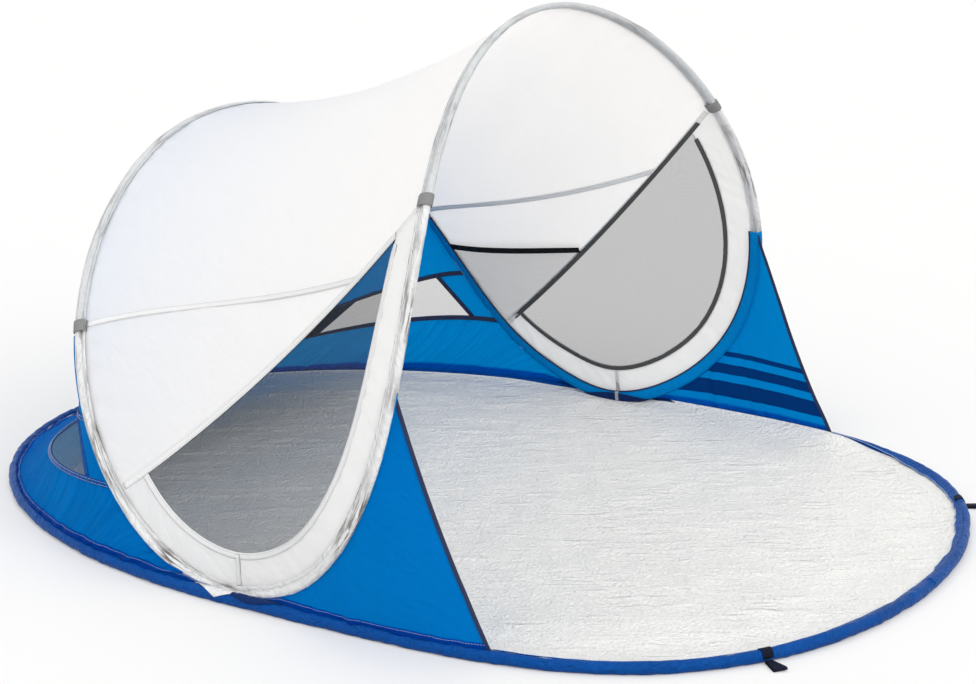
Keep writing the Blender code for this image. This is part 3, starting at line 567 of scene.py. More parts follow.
def linear(code: str) -> tuple[float, float, float, float]:
    """A colour as Blender uses it, from an sRGB hex value such as "#1f6fc4"."""
    parts = [int(code[at:at + 2], 16) / 255 for at in (1, 3, 5)]
    return (*[part / 12.92 if part <= 0.04045 else ((part + 0.055) / 1.055) ** 2.4 for part in parts], 1.0)


def add_node(tree: bpy.types.NodeTree, kind: str, inputs: dict | None = None, **settings: object) -> bpy.types.Node:
    """Adds a shader node with its settings, values and links.

    Args:
        tree: The node tree.
        kind: The node's type name, without "ShaderNode" in front.
        inputs: Values or sockets for its inputs, by name or number.
        settings: Attributes of the node.

    Returns:
        The new node.
    """
    node = tree.nodes.new(f"ShaderNode{kind}")
    for name, value in settings.items():
        setattr(node, name, value)
    for name, value in (inputs or {}).items():
        if isinstance(value, bpy.types.NodeSocket):
            tree.links.new(value, node.inputs[name])
        else:
            node.inputs[name].default_value = value
    return node


@dataclass(frozen=True)
class Cloth:
    """A finish of woven or coated cloth, net or webbing, drawn in metres over the cloth's own UV map."""

    name: str
    slot: str
    colour: str
    weave: Weave = Weave.PLAIN
    thread: float = 0.9 * MM
    crinkle: float = 22 * MM
    crinkle_depth: float = 0.25 * MM
    roughness: float = 0.62
    gloss: float = 0.12
    through: float = 0.0
    glow: str | None = None
    cover: float = 1.0
    tone: float = 0.05
    crease: float = 0.0
    crease_size: float = 60 * MM
    crease_shade: str | None = None
    stripes: str | None = None
    pleats: float = 0.0
    grain: float | None = None

    def material(self) -> bpy.types.Material:
        """The finished material, made once and then reused.

        Returns:
            The material.
        """
        if self.name in bpy.data.materials:
            return bpy.data.materials[self.name]
        made = bpy.data.materials.new(self.name)
        made.use_nodes = True
        tree = made.node_tree
        tree.nodes.clear()
        place = add_node(tree, "UVMap", uv_map="cloth").outputs["UV"]
        cross = self.woven(tree, place)
        bump = add_node(tree, "Bump", {"Height": cross, "Strength": 0.35, "Distance": self.thread / 5}).outputs[0]
        crinkle = add_node(tree, "TexNoise", {"Vector": place, "Scale": 1 / self.crinkle, "Detail": 4.0,
                                              "Distortion": 0.6}).outputs["Fac"]
        bump = add_node(tree, "Bump", {"Height": crinkle, "Strength": 0.8, "Distance": self.crinkle_depth * 10,
                                       "Normal": bump}).outputs[0]
        if self.crease:
            bump = self.creased(tree, place, bump)
        cloud = add_node(tree, "TexNoise", {"Vector": place, "Scale": 9.0, "Detail": 5.0}).outputs["Fac"]
        deep = [part * (1 - self.tone) for part in linear(self.colour)[:3]]
        pale = [min(part * (1 + self.tone), 1.0) for part in linear(self.colour)[:3]]
        colour = add_node(tree, "Mix", {"Factor": cloud, "A": (*deep, 1.0), "B": (*pale, 1.0)},
                          data_type="RGBA").outputs["Result"]
        # Pleats add painted light and shade along their folds to the colour.
        if self.pleats:
            colour, bump = self.pleated(tree, place, colour, bump)
        # Painted shade in the creases of crumpled cloth.
        if self.crease_shade:
            colour = self.streaked(tree, place, colour)
        if self.stripes:
            colour = self.striped(tree, colour)
        shader = add_node(tree, "BsdfPrincipled", {"Base Color": colour, "Roughness": self.roughness,
                                                   "Normal": bump, "Specular IOR Level": self.gloss})
        surface = shader.outputs["BSDF"]
        if self.weave is Weave.NET:
            seen = add_node(tree, "MapRange", {"Value": cross, "From Min": 0.4, "To Min": self.cover - 0.04,
                                               "To Max": self.cover + 0.04}).outputs["Result"]
            tree.links.new(seen, shader.inputs["Alpha"])
        if self.through:
            tint = linear(self.glow) if self.glow else colour
            # The pleats' painted light and shade also tint the light let through.
            if self.pleats:
                tint, _ = self.pleated(tree, place, tint, bump)
            if self.stripes:
                tint = self.striped(tree, tint)
            glow = add_node(tree, "BsdfTranslucent", {"Color": tint}).outputs["BSDF"]
            surface = add_node(tree, "MixShader", {0: self.through, 1: surface, 2: glow}).outputs[0]
        add_node(tree, "OutputMaterial", {"Surface": surface})
        return made

    def woven(self, tree: bpy.types.NodeTree, place: Socket) -> Socket:
        """Threads in one direction for ribs, or else in two. A wave texture repeats every 0.1 pi at scale 1.

        Args:
            tree: The node tree.
            place: The UV map, in metres.

        Returns:
            Heights of the threads.
        """
        bands = [add_node(tree, "TexWave", {"Vector": place, "Scale": math.pi / 10 / self.thread},
                          bands_direction=way).outputs["Fac"] for way in "XY"]
        if self.weave is Weave.RIBBED:
            return bands[0]
        return add_node(tree, "Math", {0: bands[0], 1: bands[1]}, operation="MAXIMUM").outputs[0]

    def creased(self, tree: bpy.types.NodeTree, place: Socket, under: Socket) -> Socket:
        """Sharp creases in three directions and sizes, in patches, bumped on top of what lies under them.

        Args:
            tree: The node tree.
            place: The UV map, in metres.
            under: Normals of what lies under the creases.

        Returns:
            The bumped normals.
        """
        if self.grain is not None:
            place = add_node(tree, "Mapping", {"Vector": place, "Rotation": (0.0, 0.0, self.grain),
                                               "Scale": (2.2, 1.0, 1.0)}, vector_type="TEXTURE").outputs[0]
        patch = add_node(tree, "TexNoise", {"Vector": place, "Scale": 0.22 / self.crease_size,
                                            "Detail": 2.0}).outputs["Fac"]
        strength = add_node(tree, "MapRange", {"Value": patch, "From Min": 0.38, "From Max": 0.60,
                                               "To Min": 0.40, "To Max": 1.0}).outputs["Result"]
        for size, turn, shift in ((1.0, 0.5, 0.0), (0.62, 2.1, 3.0), (0.30, 1.1, 7.0)):
            lain = add_node(tree, "Mapping", {"Vector": place, "Location": (shift, shift, 0.0),
                                              "Rotation": (0.0, 0.0, turn), "Scale": (0.45, 1.0, 1.0)}).outputs[0]
            ridge = add_node(tree, "TexNoise", {
                "Vector": lain, "Scale": 1 / (self.crease_size * size), "Detail": 4.0, "Roughness": 0.6,
                "Distortion": 0.5}, noise_type="RIDGED_MULTIFRACTAL").outputs["Fac"]
            under = add_node(tree, "Bump", {"Height": ridge, "Strength": strength, "Distance": self.crease * size,
                                            "Normal": under}).outputs[0]
        return under

    def pleated(self, tree: bpy.types.NodeTree, place: Socket, colour: Colour,
                under: Socket) -> tuple[Socket, Socket]:
        """Fine upright pleats of cloth that is gathered along its seams, with painted light and shade along the folds
        in the colour.

        Args:
            tree: The node tree.
            place: The UV map, in metres.
            colour: The cloth's colour so far.
            under: Normals of what lies under the pleats.

        Returns:
            The colour with painted light and shade along the folds, and the bumped normals.
        """
        lain = add_node(tree, "Mapping", {"Vector": place, "Scale": (1.0, 0.07, 1.0)}).outputs[0]
        fold = add_node(tree, "TexNoise", {"Vector": lain, "Scale": 1 / self.pleats, "Detail": 1.0}).outputs["Fac"]
        bump = add_node(tree, "Bump", {"Height": fold, "Strength": 1.0, "Distance": self.pleats * 0.35,
                                       "Normal": under}).outputs[0]
        # Painted light and shade: the colour is lightened and darkened along the folds.
        fold_light_and_shade = add_node(tree, "MapRange", {"Value": fold, "From Min": 0.35, "From Max": 0.68, "To Min": 0.93,
                                          "To Max": 1.10}).outputs["Result"]
        painted_fold_shading = add_node(tree, "HueSaturation", {"Value": fold_light_and_shade, "Color": colour}).outputs["Color"]
        return painted_fold_shading, bump

    def streaked(self, tree: bpy.types.NodeTree, place: Socket, colour: Colour) -> Socket:
        """Painted shade in crumpled stretches: dark streaks that run along the cloth's creases.

        Args:
            tree: The node tree.
            place: The UV map, in metres.
            colour: The cloth's colour so far.

        Returns:
            The colour with its streaks.
        """
        patch = add_node(tree, "TexNoise", {"Vector": place, "Scale": 6.0, "Detail": 2.0}).outputs["Fac"]
        lain = add_node(tree, "Mapping", {"Vector": place, "Rotation": (0.0, 0.0, 0.10),
                                          "Scale": (0.10, 1.0, 1.0)}).outputs[0]
        lines = add_node(tree, "TexNoise", {"Vector": lain, "Scale": 190.0, "Detail": 4.0,
                                            "Distortion": 0.8}).outputs["Fac"]
        # Painted shade: the crumpled patches and their creases are darkened in the colour.
        crumpled_shade_patch = add_node(tree, "MapRange", {"Value": patch, "From Min": 0.46, "From Max": 0.60,
                                             "To Max": 0.95}).outputs["Result"]
        drawn = add_node(tree, "MapRange", {"Value": lines, "From Min": 0.44, "From Max": 0.58}).outputs["Result"]
        share = add_node(tree, "Math", {0: crumpled_shade_patch, 1: drawn}, operation="MULTIPLY").outputs[0]
        return add_node(tree, "Mix", {"Factor": share, "A": colour, "B": linear(self.crease_shade)},
                        data_type="RGBA").outputs["Result"]

    def striped(self, tree: bpy.types.NodeTree, colour: Colour) -> Socket:
        """Plain printed stripes that run level across the lower part of the cloth.

        Args:
            tree: The node tree.
            colour: The cloth's colour so far.

        Returns:
            The colour with its stripes.
        """
        position = add_node(tree, "NewGeometry").outputs["Position"]
        height = add_node(tree, "SeparateXYZ", {0: position}).outputs["Z"]
        for low, high in STRIPE_HEIGHTS:
            above = add_node(tree, "Math", {0: height, 1: low}, operation="GREATER_THAN").outputs[0]
            below = add_node(tree, "Math", {0: height, 1: high}, operation="LESS_THAN").outputs[0]
            within = add_node(tree, "Math", {0: above, 1: below}, operation="MULTIPLY").outputs[0]
            colour = add_node(tree, "Mix", {"Factor": within, "A": colour, "B": linear(self.stripes)},
                              data_type="RGBA").outputs["Result"]
        return colour


@dataclass(frozen=True)
class Steel:
    """Drawn spring steel, satin and slightly streaked along the wire."""

    name: str = "drawn_spring_steel"
    colour: str = "#b6babf"
    roughness: float = 0.32

    def material(self) -> bpy.types.Material:
        """The finished material.

        Returns:
            The material.
        """
        made = bpy.data.materials.new(self.name)
        made.use_nodes = True
        tree = made.node_tree
        shader = tree.nodes["Principled BSDF"]
        shader.inputs["Base Color"].default_value = linear(self.colour)
        shader.inputs["Metallic"].default_value = 1.0
        streak = add_node(tree, "TexNoise", {"Scale": 240.0, "Detail": 3.0}).outputs["Fac"]
        rough = add_node(tree, "MapRange", {"Value": streak, "To Min": self.roughness - 0.08,
                                            "To Max": self.roughness + 0.10}).outputs["Result"]
        tree.links.new(rough, shader.inputs["Roughness"])
        return made


# Polyester taffeta: thin and plain woven, so it is matt and lets some daylight through. Its threads lie about
# 0.1 mm apart and are drawn 0.9 mm apart, so that they show from close by.
BLUE = Cloth("blue_polyester", "blue_cloth", "#0060b8", through=0.50, glow="#0092d2", gloss=0.02, tone=0.12,
             crinkle_depth=0.5 * MM, crease=4.5 * MM, crease_size=70 * MM)
# This cloth carries painted light and shade along its pleats.
BLUE_PLEATED = replace(BLUE, name="blue_polyester_pleated", pleats=8 * MM)
BLUE_STRIPED = replace(BLUE, name="blue_polyester_striped", stripes="#033370")
BLUE_HEM = Cloth("blue_polyester_hem", "blue_cloth", "#00458e", crinkle=9 * MM, crinkle_depth=0.8 * MM,
                 gloss=0.08, roughness=0.34, tone=0.30, crease=4.0 * MM, crease_size=24 * MM)
BLUE_FOOT = replace(BLUE_HEM, name="blue_polyester_thin_band", colour="#00559f", through=0.75, glow="#00a6ea",
                    crinkle=22 * MM, crinkle_depth=0.25 * MM)
BLUE_EDGE = Cloth("blue_polyester_doubled", "blue_cloth", "#0079bd", gloss=0.02, tone=0.08, crinkle_depth=0.4 * MM)
WHITE = Cloth("white_polyester", "white_cloth", "#fbf9f7", through=0.47, tone=0.01, crease=1.2 * MM,
              crease_size=110 * MM)
# The facing is the white cloth made a little darker, which is painted shade, and a little less see-through.
SHADED_WHITE_FACING = Cloth("white_polyester_facing", "white_cloth", "#f1f0ee", through=0.40, tone=0.02, crease=1.6 * MM,
                     crease_size=60 * MM)
# The sleeves' streaks are painted shade in their crumpled creases.
WHITE_SLEEVE = Cloth("white_polyester_sleeve", "white_cloth", "#ebebeb", crinkle=9 * MM, crinkle_depth=0.8 * MM,
                     through=0.15, tone=0.03, crease=2.6 * MM, crease_size=24 * MM, crease_shade="#6f6b67")
GREY_SLEEVE = Cloth("grey_polyester_sleeve", "grey_cloth", "#c6c8c9", crinkle=9 * MM, crinkle_depth=0.5 * MM,
                    tone=0.04, crease_shade="#9a9b9c")
NAVY_TAB = Cloth("navy_cloth_tab", "navy_tape", "#08265a", crinkle=6 * MM, crinkle_depth=0.5 * MM)
DARK_PANEL = Cloth("dark_panel_cloth", "dark_tape", "#161d2e", through=0.05)
# Polyethylene sheet with a silver-white coat: smoother than cloth, so its creases catch the light.
SILVER = Cloth("coated_ground_cloth", "silver_sheet", "#e9e8e5", thread=1.5 * MM, crinkle=6 * MM,
               crinkle_depth=0.8 * MM, roughness=0.42, gloss=0.3, tone=0.06, crease=6.0 * MM, crease_size=22 * MM,
               grain=-1.01)
# Knitted mosquito net: dark and half see-through. Real holes are about 1.2 mm wide and are drawn 4 mm wide, and
# faint, so that they show from close by and make no false pattern from further off.
NET = Cloth("knitted_net", "dark_net", "#2a2b2d", Weave.NET, thread=4.0 * MM, cover=0.46)
WINDOW_NET = replace(NET, name="knitted_window_net", colour="#3a3b3d", cover=0.34)
POCKET_NET = replace(NET, name="knitted_pocket_net", colour="#727375", cover=0.33)
# Woven tapes and webbing: thick ribs across the tape, matt.
NAVY_TAPE = Cloth("navy_tape", "navy_tape", "#0b1a3a", Weave.RIBBED, thread=1.3 * MM, crinkle=6 * MM)
DARK_TAPE = replace(NAVY_TAPE, name="dark_tape", slot="dark_tape", colour="#58595b")
BLACK_TAPE = replace(DARK_TAPE, name="black_elastic", colour="#0e0f10")
WHITE_TAPE = replace(NAVY_TAPE, name="white_tape", slot="white_cloth", colour="#f2f2f2", through=0.3, tone=0.02)
GREY_TAPE = replace(NAVY_TAPE, name="grey_tape", slot="grey_cloth", colour="#9d9fa1")
GREY_WEBBING = Cloth("grey_webbing", "grey_webbing", "#7f8183", Weave.RIBBED, thread=1.6 * MM, crinkle=5 * MM)
NAVY_WEBBING = replace(GREY_WEBBING, name="navy_webbing", slot="navy_tape", colour="#090e22")
# Sewing thread: matt, and a little lighter or darker than what it is sewn through. Its twist is drawn coarser.
PALE_THREAD = Cloth("pale_thread", "blue_cloth", "#c4d8f0", Weave.RIBBED, thread=0.6 * MM)
GREY_THREAD = replace(PALE_THREAD, name="grey_thread", slot="white_cloth", colour="#a5a8ab")


def new_object(name: str, points: np.ndarray, faces: Sequence[Sequence[int]], finish: Cloth,
               uvs: np.ndarray | None = None) -> bpy.types.Object:
    """One smooth-shaded object with a finish.

    Args:
        name: Name of the piece.
        points: Its points.
        faces: Corner numbers of each face.
        finish: Its cloth.
        uvs: One UV, in metres, for each corner of each face in turn.

    Returns:
        The new object.
    """
    mesh = bpy.data.meshes.new(name)
    mesh.from_pydata(points.tolist(), [], [tuple(face) for face in faces])
    if uvs is not None:
        mesh.uv_layers.new(name="cloth").data.foreach_set("uv", np.ascontiguousarray(uvs, dtype=np.float32).ravel())
    mesh.shade_smooth()
    mesh.materials.append(finish.material())
    thing = bpy.data.objects.new(name, mesh)
    bpy.context.scene.collection.objects.link(thing)
    return thing


def place(piece: bpy.types.Object, finish: Cloth, nodes: Sequence[str] = (), body: str = BODY) -> bpy.types.Object:
    """Lets a piece ride on its body and stand for the solids that it dresses.

    Args:
        piece: The piece.
        finish: Its cloth. Not used.
        nodes: The solids that it stands for.
        body: What it rides on.

    Returns:
        The same piece.
    """
    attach(piece, body)
    if nodes:
        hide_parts(*nodes)
    LOG.info("%s: %d faces", piece.name, len(piece.data.polygons))
    return piece


def grid_object(name: str, grid: np.ndarray, finish: Cloth, thickness: float = 0.0,
                round_about: bool = False) -> bpy.types.Object:
    """An object from a grid of points, with its UV map laid out in metres.

    Args:
        name: Name of the piece.
        grid: Rows by columns by 3 points. A tube has its rings as rows.
        finish: Its cloth.
        thickness: Cloth thickness, or 0 for a closed tube.
        round_about: True for a tube, whose last column joins the first and whose ends are capped.

    Returns:
        The new object.
    """
    rows, columns = grid.shape[:2]
    wrapped = np.concatenate([grid, grid[:, :1]], 1) if round_about else grid
    along, over = runs(wrapped)
    spans = columns if round_about else columns - 1
    row, column = (value.ravel() for value in np.meshgrid(np.arange(rows - 1), np.arange(spans), indexing="ij"))
    beside = (column + 1) % columns
    faces = np.stack([row * columns + column, row * columns + beside,
                      (row + 1) * columns + beside, (row + 1) * columns + column], -1)
    corners = [(row, column), (row, column + 1), (row + 1, column + 1), (row + 1, column)]
    uvs = np.stack([np.stack([along[at], over[at]], -1) for at in corners], 1).reshape(-1, 2)
    listed = [tuple(face) for face in faces.tolist()]
    if round_about:
        caps = [tuple(range(columns))[::-1], tuple(range((rows - 1) * columns, rows * columns))]
        listed += caps
        uvs = np.concatenate([uvs, np.zeros((2 * columns, 2))])
    thing = new_object(name, grid.reshape(-1, 3), listed, finish, uvs)
    if thickness:
        solid = thing.modifiers.new("thickness", "SOLIDIFY")
        solid.thickness = thickness
        solid.offset = 0.0
    return thing


def cloth_piece(name: str, grid: np.ndarray, finish: Cloth, nodes: Sequence[str], creases: Creases | None) -> bpy.types.Object:
    """A sheet of thin cloth that is sewn in and held taut: one surface, which light passes once.

    Args:
        name: Name of the piece.
        grid: Its smooth shape.
        finish: Its cloth.
        nodes: The solids that it stands for.
        creases: Creases pressed into it.

    Returns:
        The new piece.
    """
    piece = grid_object(name, creases.press(grid) if creases else grid, finish)
    place(piece, finish, nodes)
    return piece


def strip(centres: np.ndarray, before: np.ndarray, after: np.ndarray, width: float, lift: np.ndarray,
          bulge: float = 0.3 * MM) -> np.ndarray:
    """A grid for a tape along a line, which follows the cloth on both sides of it.

    Args:
        centres: Points along the line.
        before: Directions to one side of the line.
        after: Directions to its other side.
        width: Width of the tape.
        lift: Vectors by which the tape lies off the line.
        bulge: How far the middle of the tape stands proud of its edges.

    Returns:
        Points as an array of places by 5 by 3.
    """
    along = line_way(centres)
    sides = [across(before, along), across(after, along)]
    normal = unit(np.cross(along, unit(sides[1] - sides[0])))
    columns = []
    for part in (-1.0, -0.6, 0.0, 0.6, 1.0):
        way = sides[0] * -part if part < 0 else sides[1] * part
        proud = normal * bulge * (1 - part ** 2)
        columns.append(centres + way * width / 2 + lift + proud)
    return np.stack(columns, 1)


def tape_piece(name: str, grid: np.ndarray, finish: Cloth, nodes: Sequence[str] = (),
               thickness: float = 1.0 * MM, body: str = BODY) -> bpy.types.Object:
    """A sewn-on tape or binding."""
    return place(grid_object(name, grid, finish, thickness), finish, nodes, body)


def tube_piece(name: str, grid: np.ndarray, finish: Cloth, nodes: Sequence[str] = ()) -> bpy.types.Object:
    """A closed tube of rings, with capped ends."""
    return place(grid_object(name, grid, finish, 0.0, True), finish, nodes)


def along_line(wanted: np.ndarray, stations: np.ndarray, points: np.ndarray) -> np.ndarray:
    """Points of a line at wanted stations, where its own points lie at the given stations."""
    return np.stack([np.interp(wanted, stations, points[:, axis]) for axis in range(3)], -1)


def along_threads(grid: np.ndarray, distances: np.ndarray) -> np.ndarray:
    """Points on every thread of a cloth, at each thread's own distances from the first edge."""
    return np.stack([along_line(*lines) for lines in zip(distances, runs(grid)[1], grid)])


def part_of_threads(grid: np.ndarray, shares: np.ndarray, count: int) -> np.ndarray:
    """The first part of every thread, as an even number of steps along its points.

    Args:
        grid: Threads by points by 3.
        shares: How much of each thread is taken.
        count: Points on each new thread.

    Returns:
        Threads by count by 3 points.
    """
    stations = np.arange(grid.shape[1])
    steps = np.linspace(0, 1, count) * shares[:, None] * stations[-1]
    return np.stack([along_line(wanted, stations, line) for wanted, line in zip(steps, grid)])


@dataclass(frozen=True)
class FootBand:
    """A doubled band of hem cloth on the outside of a wall, just above the floor's hem, with its stitches."""

    low: float = 3.5 * MM
    stand_off: float = 1.3 * MM
    swell: float = 0.6 * MM
    swell_size: float = 0.011
    rows: int = 6

    def sew(self, name: str, grid: np.ndarray, outward: np.ndarray, high: float) -> None:
        """Sews the band on.

        Args:
            name: Name of the piece.
            grid: The wall, with threads that start at the floor.
            outward: The wall's outward normals, one for each thread.
            high: Distance of the band's upper edge from the wall's edge, where the wall is wide enough.
        """
        width = runs(grid)[1][:, -1]
        wide = width > 2 * self.low
        grid, outward = grid[wide], outward[wide]
        top = np.minimum(high, 0.8 * width[wide])[:, None]
        distances = self.low + (top - self.low) * np.linspace(0, 1, self.rows)
        band = along_threads(grid, distances)
        swell = self.swell * noise(runs(band)[0], distances * 2, self.swell_size, 141)
        band = band + outward[:, None] * (self.stand_off + swell[:, :, None])
        tape_piece(name, band, BLUE_FOOT)
        PALE_STITCHES.sew(f"{name}_stitches", [(band[:, -2] + outward * 0.8 * MM, outward)])


def line_run(points: np.ndarray) -> np.ndarray:
    """How far along a line of points each one lies."""
    return np.concatenate([[0], np.cumsum(np.linalg.norm(np.diff(points, axis=0), axis=-1))])


def even_places(points: np.ndarray, pitch: float) -> np.ndarray:
    """Points at an even pitch along a line of points."""
    run = line_run(points)
    return along_line(np.arange(pitch / 2, run[-1] - pitch / 2, pitch), run, points)


@dataclass(frozen=True)
class Stitching:
    """A row of sewing stitches: real ones are 3 to 4 mm long, and drawn a little thicker to show."""

    finish: Cloth
    pitch: float = 4.6 * MM
    length: float = 3.5 * MM
    radius: float = 0.32 * MM

    def sew(self, name: str, rows: Sequence[tuple[np.ndarray, np.ndarray]], body: str = BODY) -> bpy.types.Object:
        """Sews rows of stitches.

        Args:
            name: Name of the piece.
            rows: For each row its points and the surface normals there.
            body: What the stitches ride on.

        Returns:
            One object with all the stitches.
        """
        rings, faces, start = [], [], 0
        for points, normals in rows:
            centres = even_places(points, self.pitch)
            nearest = np.argmin(np.linalg.norm(centres[:, None] - points[None], axis=-1), axis=1)
            along = line_way(centres)
            out = across(normals[nearest], along)
            over = np.cross(along, out)
            for share, size, rise in ((-0.5, 0.35, -0.3), (0.0, 1.0, 0.5), (0.5, 0.35, -0.3)):
                middle = centres + along * self.length * share + out * self.radius * rise
                rings.append(np.stack([middle + way * self.radius * size
                                       for way in (over, out, -over, -out)], 1))
            block = np.stack(rings[-3:], 1).reshape(-1, 3)
            rings[-3:] = [block]
            for index in range(len(centres)):
                base = start + index * 12
                for ring in (0, 4):
                    faces += [(base + ring + corner, base + ring + (corner + 1) % 4,
                               base + ring + 4 + (corner + 1) % 4, base + ring + 4 + corner)
                              for corner in range(4)]
                faces += [(base + 3, base + 2, base + 1, base), (base + 8, base + 9, base + 10, base + 11)]
            start += len(block)
        points = np.concatenate(rings)
        corners = np.concatenate([np.array(face) for face in faces])
        return place(new_object(name, points, faces, self.finish, points[corners][:, :2]), self.finish, (), body)


PALE_STITCHES = Stitching(PALE_THREAD)
EDGE_STITCHES = Stitching(PALE_THREAD, length=4.0 * MM, radius=0.60 * MM)
GREY_STITCHES = Stitching(GREY_THREAD)
FOOT_BAND = FootBand()


def noisy_ring(shape: np.ndarray, along: np.ndarray, depth: float, size: float, seed: int) -> np.ndarray:
    """A tube's outline at each place along it, with small puckers that run round the tube.

    Args:
        shape: Outline points, as a first and a second offset.
        along: Distance of each ring from the first one.
        depth: Depth of the puckers.
        size: Spacing of the puckers along the tube.
        seed: Which random table is used.

    Returns:
        Offsets as rings by points by 2.
    """
    turn = np.arctan2(shape[:, 1], shape[:, 0]) * 0.012
    rings, turns = np.meshgrid(along, turn, indexing="ij")
    swell = noise(rings, turns, size, seed) * depth + noise(rings, turns, size * 3, seed + 3) * depth
    return shape[None] * (1 + swell[:, :, None] / np.linalg.norm(shape, axis=-1)[None, :, None])


@dataclass
class FloorCloths:
    """The ground cloth, the hem round it with its stitching, and the tabs at the feet."""

    hem_width: float = 0.017
    hem_height: float = 0.0205
    hem_sides: int = 20
    hem_rings: int = 700
    rings: int = 640
    steps: int = 110
    level: float = 1.6 * MM
    clear: float = 1.5 * MM
    slope: float = 80 * MM
    lap: float = 0.20
    wing_lap: float = 0.95
    wall_lap: float = 0.34
    flange: float = 8 * MM
    flange_turn: float = 1.05
    quarter_run: float = 1.22
    last_share: float = 0.9996
    ground_flat: tuple[float, float] = (1.29, 1.78)
    ground_area: float = 1.86

    def build(self) -> None:
        """Makes the floor's pieces."""
        self.ground()
        for name, side in SIDES.items():
            self.hem(name, side)
            self.hem_flange(name, side)
            self.foot_flap(name, side)

    def tallness(self, shares: np.ndarray, side: int) -> np.ndarray:
        """How much taller or lower the slack hem stands in long waves along the floor's edge."""
        run = shares * self.quarter_run
        return 1 + 0.11 * noise(run, 0.0, 0.105, 36 + side) + 0.04 * noise(run, 0.0, 0.035, 39 + side)

    def hem_flange(self, name: str, side: int) -> None:
        """The hem's flat inner edge in front of the tent, sewn down on the ground cloth in small ruffles.

        Args:
            name: The side's name.
            side: LEFT or RIGHT.
        """
        shares = np.linspace(CUT.wing_foot, self.last_share, 360)
        run = shares * self.quarter_run
        ruffle = 3.0 * MM * noise(run, 0.0, 0.045, 44 + side) + 1.6 * MM * noise(run, 0.0, 0.016, 47 + side)
        grown = smooth((shares - CUT.wing_foot - 0.02) / 0.16)
        far = self.hem_width / 2 * (0.6 + 0.4 * grown) + (self.flange + ruffle) * grown
        near = self.hem_width / 2 * math.cos(self.flange_turn)
        high = HOOPS.rod_height + self.hem_height / 2 * math.sin(self.flange_turn) * self.tallness(shares, side)
        edge = (self.hem_width / 2 + self.clear) * math.cos(self.lap)
        part = np.clip((far - edge) / self.slope, 0, 1)
        top = HOOPS.rod_height + (self.hem_height / 2 + self.clear) * math.sin(self.lap)
        low = self.level + (top - self.level) * (1 - part) ** 2 + 1.6 * MM + (high - top) * (1 - grown)
        columns = []
        for across_share in np.linspace(0, 1, 7):
            swell = 0.9 * MM * noise(run, across_share * 0.02, 0.014, 57) * math.sin(math.pi * across_share)
            columns.append(HOOPS.floor(shares, side, near + (far - near) * across_share,
                                       high + (low - high) * across_share ** 0.9 + swell))
        grid = np.stack(columns, 1)
        tape_piece(f"hem_flange_{name}", grid, BLUE_HEM, (), 0.5 * MM)
        normal = facing_up(grid_normals(grid)[:, -2])
        edge_row = (grid[:, -1] + grid[:, -2]) / 2 + normal * 0.7 * MM
        EDGE_STITCHES.sew(f"hem_flange_{name}_stitches", [(edge_row, normal)])

    def all_round(self, shares: np.ndarray, inset: np.ndarray | float, height: np.ndarray | float) -> np.ndarray:
        """The floor hoop for shares from 0 at the left foot round by the front to 4."""
        shares = np.mod(shares, 4)
        return HOOPS.floor(np.where(shares > 2, shares - 4, shares), LEFT, inset, height)

    def ground(self) -> None:
        """The coated ground cloth: creased all over, with its edge held under the hem's flange."""
        shares = np.linspace(0, 4, self.rings, endpoint=False)
        rows = []
        from_foot = np.where(shares > 2, shares - 4, shares)
        beside = np.minimum(from_foot, 2 - from_foot)
        behind = np.minimum(-from_foot, 2 + from_foot)
        lap = (self.lap + self.wing_lap * smooth((beside - 0.03) / 0.06) * smooth((0.46 - beside) / 0.10)
               + self.wall_lap * smooth((behind - 0.10) / 0.12))
        for part in np.linspace(1, 0.7, 5):
            inset = (self.hem_width / 2 + self.clear) * np.cos(lap * part)
            height = HOOPS.rod_height + (self.hem_height / 2 + self.clear) * np.sin(lap * part)
            rows.append(self.all_round(shares, inset, height))
        laid = (0.04, 0.10, 0.18, 0.28, 0.40, 0.54, 0.68, 0.84, 1.0)
        for part in laid:
            sloping = self.level + (height - self.level) * (1 - part) ** 2
            rows.append(self.all_round(shares, inset + self.slope * part, sloping))
        rim = rows[-1]
        centre = np.array([0.0, 0.0, self.level])
        for part in np.linspace(1, 0, self.steps)[1:-1]:
            rows.append(centre + (rim - centre) * part)
        grid = np.stack(rows, 0)
        grid[len(laid):, :, 2] += self.crumple(grid[len(laid):])
        count = self.rings
        points = np.concatenate([grid.reshape(-1, 3), centre[None]])
        faces = []
        for row in range(len(grid) - 1):
            for column in range(count):
                beside = (column + 1) % count
                faces.append((row * count + column, row * count + beside,
                              (row + 1) * count + beside, (row + 1) * count + column))
        last, middle = (len(grid) - 1) * count, len(points) - 1
        faces += [(last + column, last + (column + 1) % count, middle) for column in range(count)]
        corners = np.array([corner for face in faces for corner in face])
        piece = new_object("ground_cloth", points, faces, SILVER, points[corners][:, :2])
        place(piece, SILVER, ["ground_sheet"])

    def crumple(self, points: np.ndarray) -> np.ndarray:
        """Heights of the creases in the ground cloth.

        Args:
            points: Points of the smooth cloth.

        Returns:
            One height for each point.
        """
        wide, fore = points[..., 0], points[..., 1]
        near_rim = smooth((1 - np.hypot(wide / 0.63, fore / 0.88)) / 0.06)
        slant, cross = wide * 0.8 + fore * 0.6, fore * 0.8 - wide * 0.6
        along, over = wide * 0.53 - fore * 0.85, wide * 0.85 + fore * 0.53
        height = 1.6 * MM * (1 + noise(slant, cross, 0.23, 21))
        for high, first, second, size, seed, power in (
                (2.4 * MM, slant / 2, cross, 0.095, 22, 3), (2.6 * MM, slant, cross / 2, 0.052, 23, 3),
                (1.8 * MM, slant / 2, cross, 0.030, 24, 2),
                (4.5 * MM * smooth((fore + 0.15) / 0.40), along / 5, over, 0.042, 26, 2)):
            height = height + high * ridges(first, second, size, seed) ** power
        return height * near_rim * 0.65

